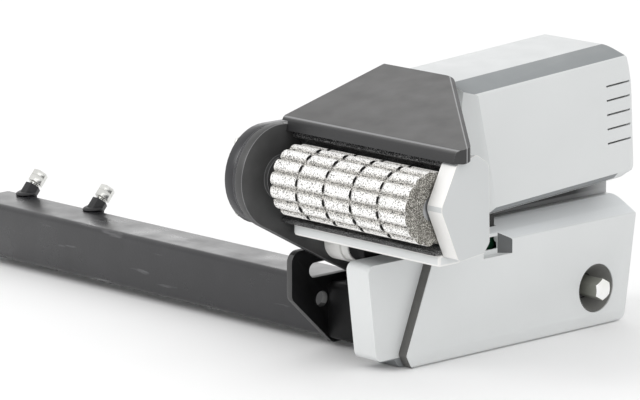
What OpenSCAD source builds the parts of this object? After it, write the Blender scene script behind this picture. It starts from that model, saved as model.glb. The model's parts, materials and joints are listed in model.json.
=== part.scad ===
// Caravan motor mover: one drive unit with its half of the cross tube.
// X runs along the cross tube towards the wheel side, -Y faces the tyre, Z is up.
// Places below are measured from the tube's front top edge; place() moves them to the part's origin.

/* [Cross tube] */
// Outside width and height of the square tube
tube_w = 50; // [44:1:56]
// Wall of the square tube
tube_wall = 3; // [2:0.5:4]
// Length of the tube from its open end to the inside of the lower cover
tube_len = 549; // [450:1:700]
// Outside corner radius of the tube
tube_r = 5; // [4:0.5:7]
// Distance of the first clamp bolt from the open end
clamp_first = 24; // [18:1:40]
// Spacing of the two clamp bolts
clamp_pitch = 94; // [60:1:140]
// Thread diameter of the clamp bolts
clamp_d = 8; // [6:1:10]
// Lean of the clamp bolts off the vertical
clamp_lean = 42; // [35:1:48]

/* [Brackets] */
// Thickness of the two bracket plates
bracket_t = 6; // [4:0.5:8]
// Wheel side face of the inner bracket plate
bracket_x = 163; // [158:0.5:163]
// Height of the guide slot's middle above the tube top
slot_z = 12.6; // [11:0.2:14]
// Diameter of the guide bushes that run in the slots
guide_d = 12.4; // [10:0.2:14]
// Clearance of a guide bush in its slot, each side
guide_gap = 0.3; // [0.2:0.05:0.6]
// Diameter of the bolt hole in each bracket plate
bracket_hole_d = 13.5; // [9:0.5:16]

/* [Roller] */
// Diameter over the ribs of the roller
roller_d = 62; // [56:1:66]
// Length of the roller
roller_len = 160.5; // [120:0.5:165]
// Inboard end of the roller
roller_x = 191.5; // [188:0.5:192]
// Number of ribs round the roller
rib_count = 15; // [12:1:24]
// Depth of the valleys between ribs
rib_depth = 3.5; // [3:0.5:6]
// Number of roller sections between ring grooves
section_count = 5; // [3:1:7]
// Width of the ring grooves
ring_groove = 4; // [2:0.5:5]
// Depth of the ring grooves, which the valleys run through
ring_depth = 2.8; // [2:0.1:2.9]
// Diameter of the roller shaft
shaft_d = 20; // [16:1:24]
// Running clearance of shafts in their bearings, on the radius
run_gap = 0.05; // [0.02:0.01:0.1]

/* [Travel] */
// Travel of the drive unit towards the tyre
travel = 30; // [20:1:32]

/* [Gear train] */
// Face width of each gear
gear_w = 7.5; // [5:0.5:7.5]
// Backlash left between gear teeth, along the pitch line
backlash = 0.3; // [0.2:0.05:0.4]
// Teeth of the roller gear
roller_teeth = 36; // [34:1:36]
// Teeth of each driving pinion
pinion_teeth = 14; // [14:1:15]
// Diameter of the idler axles
axle_d = 8; // [6:1:9]

/* [Gear case] */
// Outside radius of the gear case round the roller gear
case_r = 43; // [41.5:0.5:45]
// Wall of the gear case
case_wall = 3; // [2.5:0.5:3]
// Depth of the gear case body
case_depth = 15; // [14:0.5:15]
// Depth of the gear case cover
cover_depth = 8; // [7.5:0.5:8]

/* [Roller cover] */
// Thickness of the roller cover
hood_t = 3; // [2:0.5:4]
// Height of the roller cover's front lip
hood_lip = 11; // [8:1:16]

/* [Motor] */
// Diameter of the motor can
motor_d = 76; // [60:1:78]
// Diameter of the motor shaft
motor_shaft_d = 10; // [8:0.5:11]

/* [Motor cover] */
// Width of the motor cover along X
mc_w = 103; // [95:1:106]
// Length of the motor cover
mc_len = 207; // [195:1:215]
// Height of the motor cover
mc_h = 117; // [112:1:122]
// Wall of the moulded covers
skin = 3; // [2:0.5:4]
// Backward rise of the motor cover
mc_tilt = 3.2; // [0:0.1:4]
// Width of the outboard top chamfer
mc_chamfer_w = 24; // [10:1:28]
// Drop of the outboard top chamfer
mc_chamfer_h = 9; // [5:0.5:12]
// Number of vent slots
vent_count = 5; // [3:1:6]
// Height of a vent slot
vent_h = 1.6; // [1:0.1:3]

/* [Lower cover] */
// Wheel side face of the lower side panel
panel_x = 268; // [266:0.5:272]
// Step between the lower cover and the side panel
panel_step = 10.5; // [9:0.5:12]
// Height of the lower cover's flat deck above the tube top
deck_z = 51; // [49:0.5:53]
// Depth of the lower cover's floor below the tube bottom
floor_drop = 7.3; // [6:0.1:10]
// Diameter of the hex access hole in the side panel
access_d = 43; // [36:0.5:46]
// Width across flats of the hex drive end
hex_af = 17; // [13:1:22]

/* [Hidden] */
$fn = 64;
eps = 0.01;
slack = 0.3;

// Length that passes beyond every piece, for cuts
far = 600;

// Roller axis and roller end
roller_y = -64;
roller_z = 102;
roller_x1 = roller_x + roller_len;
roller_r = roller_d / 2;

// Gear case stack along X
case_x0 = bracket_x + 1 - case_depth;
case_x1 = case_x0 + case_depth;
cover_x1 = case_x1 + cover_depth;
plane_a = case_x0 + case_wall + 0.5;
plane_b = plane_a + gear_w + 0.6;

// Gear modules of the four stages, and teeth of the driven gears
m1 = 2;
m2 = 1.75;
m3 = 1.5;
m4 = 1.25;
idler_teeth_1 = 42;
idler_teeth_2 = 40;
idler_teeth_3 = 36;
pressure = 20;
addendum = 0.9;
dedendum = 1.2;
centre_spare = 0.1;

// Directions of the gear chain in the YZ plane
dir_1 = -8;
dir_2 = 10;
dir_3 = 6;
dir_4 = 4;

function step_to(p, a, d) = [p[0] + d * cos(a), p[1] + d * sin(a)];
function centre(m, za, zb) = m * (za + zb) / 2 + centre_spare;

axis_0 = [roller_y, roller_z];
axis_1 = step_to(axis_0, dir_1, centre(m1, roller_teeth, pinion_teeth));
axis_2 = step_to(axis_1, dir_2, centre(m2, idler_teeth_1, pinion_teeth));
axis_3 = step_to(axis_2, dir_3, centre(m3, idler_teeth_2, pinion_teeth));
axis_4 = step_to(axis_3, dir_4, centre(m4, idler_teeth_3, pinion_teeth));

// Turn of a gear so that its gap meets the tooth of the gear that it follows
function mesh_turn(dir, turn_a, za, zb) = dir + 180 + (dir - turn_a) * za / zb + 180 / zb;
turn_0 = 0;
turn_1 = mesh_turn(dir_1, turn_0, roller_teeth, pinion_teeth);
turn_2 = mesh_turn(dir_2, turn_1, idler_teeth_1, pinion_teeth);
turn_3 = mesh_turn(dir_3, turn_2, idler_teeth_2, pinion_teeth);
turn_4 = mesh_turn(dir_4, turn_3, idler_teeth_3, pinion_teeth);

// Tie bush, guide pins and arms
tie_y = 3;
tie_z = 38.5;
tie_d = 18;
tie_bush_d = 34;
tie_bush_len = 27;
guide_y = 34;
guide_pin_d = 8;
arm_t = 8;
outer_arm_x = 214;
outer_bracket_x = outer_arm_x + arm_t + 3;

// End of the roller side
end_x0 = roller_x1 + 2;
end_bush_d = 12;
end_bush_len = 11;
shaft_tip_d = 9;
cap_depth = 17;
cap_x1 = end_x0 + cap_depth;
yoke_r = roller_r + 4.5;
yoke_t = 4;
bearing_d = 34;
bearing_w = 6;

// Roller cover outline
hood_front_y = -55.5;
hood_front_z = roller_z + 49.8;
hood_back_y = 63.3;
hood_rise = 14.1;
hood_slope = tan(hood_rise);
hood_x0 = cover_x1 + slack;
hood_left_x = case_x1 + 1.5;
hood_x1 = cap_x1 + 6;
hood_corner_y = -44.6;
hood_tip = 6;
hood_back_x = hood_x1 - 127.4;
hood_rim = 11;
hood_bevel = 10;
hood_overhang = 4;
hood_lean = 2;
hood_edge_r = 5;

// Height of the roller cover's top face at a given Y
function hood_z(y) = hood_front_z + (y - hood_front_y) * hood_slope;

// Motor cover corner and motor tray
mc_lap = 7;
mc_x0 = cover_x1 - mc_lap;
mc_y0 = 71;
mc_z0 = deck_z + 7.5;
mc_back_r = 14;
mc_back_slant = 17;
mc_heel_len = 20;
mc_heel_h = 13;
tray_t = 4;
tray_lift = 1;
motor_x0 = cover_x1;
motor_spare = 44;
motor_len = mc_w - motor_spare;
motor_x1 = motor_x0 + motor_len;

// Height of the tray's tilted underside at a given Y
function tray_under(y) = mc_z0 + tray_lift / cos(mc_tilt) + (y - mc_y0) * tan(mc_tilt);

// Lower cover
floor_z = -tube_w - floor_drop;
lower_x0 = 178;
lower_front_x = outer_bracket_x + bracket_t;
lower_x1 = panel_x - panel_step;
lower_back_y = 271.7;
lower_nose_z = 35;
lower_wide_y = 62;
side_top_z = 36.5;
side_chamfer_w = 24.6;

// Cross tube, from the inside of the lower cover's wall to its open end
tube_x1 = lower_front_x + skin;
tube_x0 = tube_x1 - tube_len;

// Engagement shaft, pinion and rack
engage_y = 221.8;
engage_z = -23.3;
engage_teeth = 12;
engage_m = 2;
engage_d = 14;
engage_r = engage_m * engage_teeth / 2;
rack_x = 196;
rack_w = 14;
rack_z = engage_z + engage_r + centre_spare;
rack_tip = 0.65;
rack_h = 10;
rack_margin = 5;
gearbox_x0 = 216;
gearbox_w = 34;

// Origin: middle of the box in plan, at the floor of the lower cover
arm_front_r = case_r + 2;
heel_mid_z = mc_heel_h + mc_back_r / tan(45 + atan(mc_heel_h / mc_heel_len) / 2);
mc_back_y = mc_y0 + (mc_len - mc_back_r) * cos(mc_tilt) - heel_mid_z * sin(mc_tilt) + mc_back_r;
origin = [(tube_x0 + hood_x1) / 2, (roller_y - arm_front_r + mc_back_y) / 2, floor_z];

// Moves the measured places to the part's own origin
module place() {
    translate(-origin) children();
}

// Extrudes an outline drawn in Y and Z along X, from x0 to x1
module along_x(x0, x1) {
    translate([x0, 0, 0]) rotate([90, 0, 90]) linear_extrude(x1 - x0) children();
}

// Round bar along X at a point of the YZ plane
module bar(p, d, x0, x1) {
    translate([x0, p[0], p[1]]) rotate([0, 90, 0]) cylinder(d = d, h = x1 - x0);
}

function unit(v) = v / norm(v);
function corner_turn(a, b) = acos(max(-1, min(1, a * b)));

// Points of an outline whose corners are rounded by their own radius
function rounded(pts, radii, steps = 6) = [
    for (i = [0 : len(pts) - 1])
        let (
            p = pts[i],
            a = unit(pts[(i + len(pts) - 1) % len(pts)] - p),
            b = unit(pts[(i + 1) % len(pts)] - p),
            r = radii[i],
            half = corner_turn(a, b) / 2,
            mid = p + unit(a + b) * r / sin(half),
            from = p + a * r / tan(half) - mid,
            to = p + b * r / tan(half) - mid
        )
        each r < eps ? [p] : [
            for (k = [0 : steps])
                let (w = k / steps, sweep = corner_turn(unit(from), unit(to)))
                mid + (sin((1 - w) * sweep) * from + sin(w * sweep) * to) / sin(sweep)
        ]
];

// Involute tooth flank, as polar radius against the tooth's half angle
function inv(a) = tan(a) * 180 / PI - a;
function flank_angle(r, rb) = r <= rb ? 0 : inv(acos(rb / r));
function half_angle(m, z) = 90 / z - backlash / 2 / (PI * m * z) * 360 + inv(pressure);

// Outline of a spur gear with involute flanks
module gear_outline(m, z, turn) {
    rp = m * z / 2;
    rb = rp * cos(pressure);
    ra = rp + addendum * m;
    rd = rp - dedendum * m;
    half = half_angle(m, z);
    flank = [rd, for (k = [0 : 5]) max(rd, rb) + (ra - max(rd, rb)) * k / 5];
    polygon([
        for (i = [0 : z - 1])
            let (c = turn + i * 360 / z)
            each concat(
                [for (r = flank)
                    let (a = c - half + flank_angle(r, rb))
                    r * [cos(a), sin(a)]],
                [for (k = [len(flank) - 1 : -1 : 0])
                    let (r = flank[k], a = c + half - flank_angle(r, rb))
                    r * [cos(a), sin(a)]]
            )
    ]);
}

module spur_gear(p, m, z, turn, x0, w) {
    along_x(x0, x0 + w) translate(p) gear_outline(m, z, turn);
}

// Compound idler: a pinion in one plane and its larger gear in the other
module idler(p, m_pinion, turn, m_gear, gear_teeth, pinion_plane, gear_plane) {
    difference() {
        union() {
            spur_gear(p, m_pinion, pinion_teeth, turn, pinion_plane, gear_w);
            spur_gear(p, m_gear, gear_teeth, turn, gear_plane, gear_w);
            bar(p, axle_d + 5, plane_a, plane_b + gear_w);
        }
        bar(p, axle_d + 2 * run_gap, plane_a - 1, plane_b + gear_w + 1);
    }
}

// Hexagon across flats, with its height along Z
module hexagon(af, h) {
    cylinder(d = af / cos(30), h = h, $fn = 6);
}

// Square tube
module cross_tube() {
    outer = [[0, -tube_w], [tube_w, -tube_w], [tube_w, 0], [0, 0]];
    w = tube_wall;
    inner = [[w, w - tube_w], [tube_w - w, w - tube_w], [tube_w - w, -w], [w, -w]];
    color("#2b2c30") difference() {
        along_x(tube_x0, tube_x1) difference() {
            polygon(rounded(outer, [for (i = [0 : 3]) tube_r]));
            polygon(rounded(inner, [for (i = [0 : 3]) max(0.5, tube_r - tube_wall)]));
        }
        at_clamps() translate([0, 0, -20]) cylinder(d = clamp_d + 1, h = 40);
    }
}

// Frame of each clamp bolt: on the tube's back top corner, leaning backwards
module at_clamps() {
    for (i = [0, 1])
        translate([tube_x0 + clamp_first + i * clamp_pitch, tube_w, 0])
            rotate([-clamp_lean, 0, 0])
                children();
}

nut_af = 13;
weld_nut_h = 9;
weld_root = 4;
lock_nut_h = 6.5;
clamp_thread = 3;
module weld_nuts() {
    color("#1d1d1f") difference() {
        at_clamps() translate([0, 0, -weld_root]) difference() {
            hexagon(nut_af + 0.5, weld_nut_h + weld_root);
            translate([0, 0, -1]) cylinder(d = clamp_d, h = weld_nut_h + weld_root + 2);
        }
        clamp_tube_block();
    }
}

// Space taken by the tube, for pieces that are welded to it
module clamp_tube_block() {
    block = [[0, -tube_w], [tube_w, -tube_w], [tube_w, 0], [0, 0]];
    along_x(tube_x0 - 1, tube_x1) polygon(rounded(block, [for (i = [0 : 3]) tube_r]));
}

clamp_head_h = 5.3;
clamp_reach = 6;
module clamp_bolts() {
    stack = weld_nut_h + clamp_thread + lock_nut_h;
    color("silver") at_clamps() {
        translate([0, 0, -clamp_reach]) cylinder(d = clamp_d, h = clamp_reach + stack + 1);
        translate([0, 0, stack]) hexagon(nut_af, clamp_head_h);
    }
}

module clamp_lock_nuts() {
    color("silver") at_clamps() translate([0, 0, weld_nut_h + clamp_thread]) difference() {
        hexagon(nut_af, lock_nut_h);
        translate([0, 0, -1]) cylinder(d = clamp_d, h = lock_nut_h + 2);
    }
}

// Outline of a bracket plate: nose to the front, slanted lower edge, hooked over the tube
bracket_top = 32;
bracket_nose = -43;
outer_nose = -33;
bracket_nose_z = -9;
bracket_toe = 5;
bracket_back = lower_wide_y;
bracket_foot = -54;
bracket_hole_at = [-8, -13.6];
module bracket_outline(nose) {
    pts = [[nose, bracket_nose_z], [bracket_toe, bracket_foot], [bracket_back, bracket_foot],
        [bracket_back, bracket_top], [nose, bracket_top]];
    polygon(rounded(pts, [8, 5, 8, 8, 10]));
}

// Guide slot, with room for the travel of the guide bush
slot_spare = 20;
module slot_outline() {
    d = guide_d + 2 * guide_gap;
    for (y = [guide_y - travel - slot_spare, guide_y])
        translate([y, slot_z]) circle(d = d);
    translate([guide_y - travel - slot_spare, slot_z - d / 2]) square([travel + slot_spare, d]);
}

module bracket(x0, nose) {
    difference() {
        along_x(x0, x0 + bracket_t) bracket_outline(nose);
        along_x(x0 - 1, x0 + bracket_t + 1) slot_outline();
        bar(bracket_hole_at, bracket_hole_d, x0 - 1, x0 + bracket_t + 1);
        clamp_tube_block();
    }
}

module inner_bracket() {
    color("#17181a") bracket(bracket_x - bracket_t, bracket_nose);
}

module outer_bracket() {
    color("#17181a") difference() {
        bracket(outer_bracket_x, outer_nose);
        at_cover_bolts() bar([0, 0], cover_bolt_d, outer_bracket_x - 1, outer_bracket_x + bracket_t + 1);
    }
}

// Bolts that hold the lower cover, flush in the outer bracket with their heads inside the cover
cover_bolt_d = 8;
cover_bolt_head = 5.3;
cover_bolt_places = [[53, 18], [-17, -3]];
module at_cover_bolts() {
    for (p = cover_bolt_places)
        translate([0, p[0], p[1]]) children();
}

module cover_bolts() {
    x1 = lower_front_x + skin;
    color("silver") at_cover_bolts() {
        bar([0, 0], cover_bolt_d, outer_bracket_x, x1 + 1);
        translate([x1, 0, 0]) rotate([0, 90, 0]) hexagon(nut_af, cover_bolt_head);
    }
}

// Outline of the gear case round the whole gear train
case_mid_r = 36;
case_end_r = 24;
module case_outline(inset = 0) {
    hull() {
        translate(axis_0) circle(r = case_r - inset, $fn = 48);
        translate(axis_1) circle(r = case_r - inset, $fn = 48);
        translate(axis_3) circle(r = case_mid_r - inset, $fn = 48);
        translate(axis_4) circle(r = case_end_r - inset, $fn = 48);
    }
}

joint_gap = 0.6;
joint_rim = 3;
joint_groove = 0.8;
module gear_case() {
    groove_x1 = case_x1 - joint_gap - joint_rim;
    color("#1e1f22") difference() {
        along_x(case_x0, case_x1 - joint_gap) case_outline();
        along_x(groove_x1 - joint_groove, groove_x1) difference() {
            case_outline(-1);
            case_outline(joint_groove);
        }
        along_x(case_x0 + case_wall, case_x1 + 1) case_outline(case_wall);
        for (p = [axis_1, axis_2, axis_3])
            bar(p, axle_d, case_x0 + 1, case_x1);
    }
}

// Arm outline: the round case front drawn down to the tie bush and the guide pin
tray_seat_y = guide_y + 8;
guide_arm_r = 11.5;
tie_arm_r = 21;
tray_arm_r = 18;
module arm_outline() {
    hull() {
        translate(axis_0) circle(r = arm_front_r, $fn = 48);
        translate([tie_y, tie_z]) circle(r = tie_arm_r, $fn = 32);
        translate([guide_y, slot_z]) circle(r = guide_arm_r, $fn = 32);
        translate([tray_seat_y, tray_under(tray_seat_y) - 10]) circle(r = tray_arm_r, $fn = 32);
    }
}

bearing_boss = 4;
module gear_case_cover() {
    wall_x = cover_x1 - case_wall;
    color("#232427") difference() {
        union() {
            difference() {
                union() {
                    along_x(case_x1, cover_x1) case_outline();
                    along_x(case_x1, cover_x1) arm_outline();
                }
                along_x(case_x1 - 1, wall_x) case_outline(case_wall);
            }
            bar(axis_0, bearing_d + bearing_boss, wall_x, wall_x + bearing_w + 1);
        }
        bar(axis_0, bearing_d, wall_x - 1, wall_x + bearing_w);
        bar(axis_0, shaft_d + 2, wall_x - 1, wall_x + bearing_w + 2);
        for (p = [axis_1, axis_2, axis_3])
            bar(p, axle_d, case_x1, cover_x1 - 1);
        bar(axis_4, motor_shaft_d + 4, case_x1, cover_x1 + 1);
        bar([tie_y, tie_z], tie_d, cover_x1 - 6, cover_x1 + 1);
        bar([guide_y, slot_z], guide_pin_d, case_x1 - 1, cover_x1 + 1);
    }
}

// Ribbed roller with ring grooves, on its shaft: round ribs that meet in sharp valleys
rib_steps = 10;
function rib_r(u) = roller_r - rib_depth * (1 - sqrt(1 - u * u));
module roller_outline() {
    half = 180 / rib_count;
    polygon([
        for (i = [0 : rib_count - 1], k = [0 : rib_steps - 1])
            let (u = 2 * k / rib_steps - 1, a = (2 * i + u) * half)
            rib_r(u) * [cos(a), sin(a)]
    ]);
}

module roller() {
    pitch = roller_len / section_count;
    color("#c9cac9") difference() {
        along_x(roller_x, roller_x1) translate(axis_0) roller_outline();
        bar(axis_0, shaft_d, roller_x - 1, roller_x1 + 1);
        for (i = [1 : section_count - 1])
            along_x(roller_x + i * pitch - ring_groove / 2, roller_x + i * pitch + ring_groove / 2)
                translate(axis_0) difference() {
                    circle(r = roller_r + 1);
                    circle(r = roller_r - ring_depth);
                }
    }
}

module roller_shaft() {
    color("#8d9094") {
        bar(axis_0, shaft_d, plane_a, roller_x1);
        bar(axis_0, shaft_tip_d, roller_x1 - 1, end_x0 + end_bush_len - 1);
    }
}

module roller_gear() {
    color("#77797c") difference() {
        spur_gear(axis_0, m1, roller_teeth, turn_0, plane_a, gear_w);
        bar(axis_0, shaft_d, plane_a - 1, plane_a + gear_w + 1);
    }
}

// Ball bearing at the gear case and plain bush in the end cap
module round_bearing(x0, outer, inner, w) {
    difference() {
        bar(axis_0, outer, x0, x0 + w);
        bar(axis_0, inner + 2 * run_gap, x0 - 1, x0 + w + 1);
    }
}

module roller_bearings() {
    color("#a3a6a8") {
        round_bearing(cover_x1 - case_wall, bearing_d, shaft_d, bearing_w);
        round_bearing(end_x0, end_bush_d, shaft_tip_d, end_bush_len);
    }
}

module idler_gear_1() {
    color("#77797c") idler(axis_1, m1, turn_1, m2, idler_teeth_1, plane_a, plane_b);
}

module idler_gear_2() {
    color("#77797c") idler(axis_2, m2, turn_2, m3, idler_teeth_2, plane_b, plane_a);
}

module idler_gear_3() {
    color("#77797c") idler(axis_3, m3, turn_3, m4, idler_teeth_3, plane_a, plane_b);
}

module idler_axles() {
    color("#9a9da0") for (p = [axis_1, axis_2, axis_3])
        bar(p, axle_d, case_x0 + 1, cover_x1 - 1);
}

// Motor: can with a flanged front, shaft, armature and end bell
bell_t = 6;
bell_cap = 2;
can_wall = 3;
core_start = 12;
commutator_start = 20;
commutator_end = 6;
air_gap = 1;
module motor_can() {
    color("#3a3b3e") difference() {
        bar(axis_4, motor_d, motor_x0, motor_x1);
        bar(axis_4, motor_d - 2 * can_wall, motor_x0 + can_wall, motor_x1 + 1);
        bar(axis_4, motor_shaft_d + 2 * run_gap, motor_x0 - 1, motor_x1);
    }
}

module motor_end_bell() {
    color("#55575a") difference() {
        union() {
            bar(axis_4, motor_d, motor_x1, motor_x1 + can_wall);
            bar(axis_4, motor_d * 0.45, motor_x1, motor_x1 + bell_t);
        }
        bar(axis_4, motor_shaft_d + 2 * run_gap, motor_x1 - 1, motor_x1 + bell_t - bell_cap);
    }
}

module motor_armature() {
    magnet = 9;
    core_d = motor_d - 2 * (can_wall + magnet + air_gap);
    color("#7c4a2a") difference() {
        union() {
            bar(axis_4, core_d, motor_x0 + core_start, motor_x1 - commutator_start);
            bar(axis_4, core_d * 0.55, motor_x1 - commutator_start, motor_x1 - commutator_end);
        }
        bar(axis_4, motor_shaft_d, motor_x0, motor_x1);
    }
}

module motor_shaft() {
    color("#8d9094") {
        bar(axis_4, motor_shaft_d, plane_b + gear_w - eps, motor_x1 + bell_t - bell_cap - 0.5);
        spur_gear(axis_4, m4, pinion_teeth, turn_4, plane_b, gear_w);
    }
}

// Tray that carries the motor box, tilted with it and welded to the gear case cover
tray_y0 = -31;
tray_back = 3;
tray_y1 = mc_len - mc_heel_len - tray_back;
tray_margin = skin + 3;
module tray_box(gap = 0) {
    mc_frame() translate([cover_x1 - mc_x0, tray_y0 - gap, tray_lift - gap])
        cube([mc_w - tray_margin - cover_x1 + mc_x0 + gap, tray_y1 - tray_y0 + 2 * gap, tray_t + 2 * gap]);
}

module motor_tray() {
    color("#202124") tray_box();
}

// Upright wall from a level foot to the underside of the tray
module under_tray(x0, x1, y0, y1, foot) {
    along_x(x0, x1) polygon([[y0, foot], [y1, foot], [y1, tray_under(y1)], [y0, tray_under(y0)]]);
}

// Bar under the tray whose teeth run on the engagement pinion
tail_y0 = 150;
tail_y1 = 206;
rack_teeth_y1 = engage_y + travel + rack_margin;
module rack_tail() {
    pitch = PI * engage_m;
    half_top = pitch / 4 - backlash / 2 - engage_m * rack_tip * tan(pressure);
    half_root = pitch / 4 - backlash / 2 + engage_m * dedendum * tan(pressure);
    root_z = rack_z + engage_m * dedendum;
    tip_z = rack_z - engage_m * rack_tip;
    color("#6d7073") union() {
        under_tray(rack_x, rack_x + rack_w, tail_y0, tail_y1, root_z);
        along_x(rack_x, rack_x + rack_w) union() {
            translate([tail_y0, root_z]) square([rack_teeth_y1 - tail_y0, rack_h]);
            for (i = [-1 : floor((rack_teeth_y1 - engage_y - half_root) / pitch)])
                translate([engage_y + i * pitch, 0])
                    polygon([[-half_root, root_z + eps], [-half_top, tip_z], [half_top, tip_z],
                        [half_root, root_z + eps]]);
        }
    }
}

// Slide pads under the tray, running on the deck of the lower cover
pad_w = 10;
pad_y0 = 92;
pad_back = 14;
pad_y1 = mc_y0 + mc_len - pad_back;
module slide_pads() {
    color("#1f2022") for (x = [lower_x0 + 6, panel_x - side_chamfer_w - pad_w - 4])
        under_tray(x, x + pad_w, pad_y0, pad_y1, deck_z + slack);
}

// Flag that shows through the window of the side panel
flag_x = 247;
flag_t = 4;
flag_y0 = 92;
flag_y1 = 112;
flag_foot = 26;
module position_flag() {
    color("#1f4a2c") under_tray(flag_x, flag_x + flag_t, flag_y0, flag_y1, flag_foot);
}

// Plan of the roller cover: over the gear case on one side, drawn in behind the end cap on the other
module hood_plan() {
    front = hood_front_y - hood_overhang;
    pts = [[hood_left_x, front], [hood_x1 - hood_bevel, front], [hood_x1, hood_corner_y - hood_tip],
        [hood_x1, hood_corner_y], [hood_back_x, hood_back_y], [hood_left_x, hood_back_y]];
    polygon(rounded(pts, [1, 6, 6, 6, 28, 1]));
}

// Space inside the lip and the rim, open to the gear case and to the motor cover
module hood_inner_plan() {
    out = hood_front_y - 2 * hood_overhang;
    front = hood_front_y + hood_t;
    in = 1.5 * hood_t;
    pts = [[hood_left_x - 1, out], [hood_x0, out], [hood_x0, front], [hood_x1 - hood_bevel - in, front],
        [hood_x1 - in, hood_corner_y], [hood_back_x - in, hood_back_y], [hood_back_x - in, far],
        [hood_left_x - 1, far]];
    polygon(rounded(pts, [0, 0, 0, 4, 4, 24, 0, 0]));
}

// Side outline of the roller cover, and of the space under its top and behind its lip
lip_foot = hood_front_z - hood_lip;
module hood_side() {
    polygon(rounded([[hood_front_y - hood_lean, lip_foot], [hood_front_y, hood_front_z],
        [hood_back_y, hood_z(hood_back_y)], [hood_back_y, hood_z(hood_back_y) - hood_rim],
        [hood_front_y + hood_rim, lip_foot]], [0, hood_edge_r, 0, 0, 0]));
}

module hood_under() {
    front = hood_front_y - 2 * hood_overhang;
    back = hood_back_y + 1;
    polygon([[front, lip_foot - 1], [front, hood_z(front) - hood_t], [back, hood_z(back) - hood_t],
        [back, lip_foot - 1]]);
}

rib_inset = 14;
module roller_cover() {
    color("#3c3c3d") difference() {
        union() {
            difference() {
                intersection() {
                    along_x(hood_left_x - 1, hood_x1 + 1) hood_side();
                    linear_extrude(far) hood_plan();
                }
                intersection() {
                    along_x(hood_left_x - 2, hood_x1 + 1) hood_under();
                    linear_extrude(far) hood_inner_plan();
                }
            }
            for (x = [hood_x0 + rib_inset, end_x0 - rib_inset - hood_t])
                along_x(x, x + hood_t) hood_rib();
        }
        along_x(end_x0 - slack, hood_x1 + 1) cap_outline(-slack);
    }
}

// Rib under the roller cover, seated on the channel behind the roller
module hood_rib() {
    y0 = hood_front_y + hood_t;
    y1 = roller_y + yoke_r;
    foot = roller_z + 20;
    difference() {
        polygon([[y0, foot], [y1, foot], [y1, hood_z(y1) - 1], [y0, hood_z(y0) - 1]]);
        translate(axis_0) circle(r = yoke_r + yoke_t + slack);
    }
}

// Moulded motor cover in its own level frame, then tilted with its back up
module mc_body(inset) {
    corner_r = 16;
    foot = 7;
    shoulder = 10;
    top = mc_h - inset;
    side = [[inset, inset], [mc_len - mc_heel_len - inset / 2, inset],
        [mc_len - inset, mc_heel_h + inset / 2], [mc_len - inset, mc_h / 2],
        [mc_len - mc_back_slant - inset, top], [inset, top]];
    front = [[inset + foot, inset], [mc_w - inset - foot, inset], [mc_w - inset, inset + foot],
        [mc_w - inset, top - mc_chamfer_h], [mc_w - mc_chamfer_w, top],
        [shoulder + inset, top], [inset, top - shoulder], [inset, inset + foot]];
    plan = [[inset, -1], [mc_w - inset, -1], [mc_w - inset, mc_len - inset], [inset, mc_len - inset]];
    difference() {
        intersection() {
            along_x(0, mc_w) polygon(rounded(side, [0, 6, mc_back_r, 20, 6, 0], 8));
            translate([0, mc_len, 0]) rotate([90, 0, 0]) linear_extrude(mc_len)
                polygon(rounded(front, [2, 2, 2, 3, 3, 3, 3, 2], 3));
            linear_extrude(mc_h) polygon(rounded(plan, [0, 0, corner_r, corner_r]));
        }
        front_bevel(inset);
    }
}

// Cut that bevels the cover's outboard front corner, leaning back towards its foot
bevel_top_y = 7.4;
bevel_lean = 10.3;
module front_bevel(inset) {
    wide = 60;
    translate([mc_w, bevel_top_y + inset * sqrt(2), mc_h]) rotate([bevel_lean, 0, 0])
        translate([0, 0, -far / 2]) linear_extrude(far)
            polygon([[wide, wide], [-wide, -wide], [wide, -wide]]);
}

module mc_frame() {
    translate([mc_x0, mc_y0, mc_z0]) rotate([mc_tilt, 0, 0]) children();
}

vent_pitch = 12.7;
vent_len = 30;
vent_end = 11;
vent_y = mc_len - vent_end - vent_len;
vent_top = 85;
module motor_cover() {
    flange = 4;
    color("#d9dbdc") difference() {
        mc_frame() difference() {
            mc_body(0);
            mc_body(skin);
            translate([skin + flange, -1, -1])
                cube([mc_w - 2 * (skin + flange), mc_len - skin - flange, skin + 2]);
            translate([2 * skin, -1, skin])
                cube([motor_x1 + bell_t - mc_x0 - 2 * skin, skin + 2, mc_h - 2 * skin - mc_chamfer_h]);
            for (i = [0 : vent_count - 1])
                translate([mc_w - skin - 1, vent_y, vent_top - i * vent_pitch])
                    cube([skin + 2, vent_len, vent_h]);
        }
        tray_box(slack);
        along_x(case_x0, cover_x1 + slack) case_outline(-slack);
        along_x(case_x0, cover_x1 + slack) arm_outline();
    }
}

// Wall under the slanted rim of the roller cover, from the motor cover to the roller's channel
fairing_past = 12;
function mc_front(z) = mc_y0 - (z - mc_z0) * tan(mc_tilt);
module corner_fairing() {
    a = [hood_x1, hood_corner_y];
    b = [hood_back_x, hood_back_y];
    n = unit([b[1] - a[1], a[0] - b[0]]);
    outer = hood_t + 2 * slack;
    inner = outer + skin;
    foot = tray_under(hood_back_y) + tray_lift + tray_t + 2;
    front_y = roller_y + yoke_r + yoke_t + 1.5;
    drop = hood_t + slack;
    top = hood_z(hood_back_y) - drop;
    below = [[front_y, foot], [mc_front(foot) - slack, foot], [mc_front(top) - slack, top],
        [hood_back_y, top], [front_y, hood_z(front_y) - drop]];
    end = b + unit(b - a) * fairing_past;
    color("#d9dbdc") intersection() {
        linear_extrude(far) polygon([a - n * outer, end - n * outer, end - n * inner, a - n * inner]);
        along_x(0, end_x0 - slack) polygon(below);
    }
}

// Outline of the light grey cap at the wheel side end
module cap_outline(inset = 0) {
    pts = [[12.4, -43.3], [41.8, -40.4], [48.4, -32.1], [46.6, 34.2], [32.4, 43.3], [9.4, 37.7],
        [-8.6, 2.5]];
    mid = [22, 0];
    translate(axis_0)
        polygon(rounded([for (p = pts) p - unit(p - mid) * inset], [5, 5, 6, 8, 6, 5, 10], 4));
}

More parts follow.
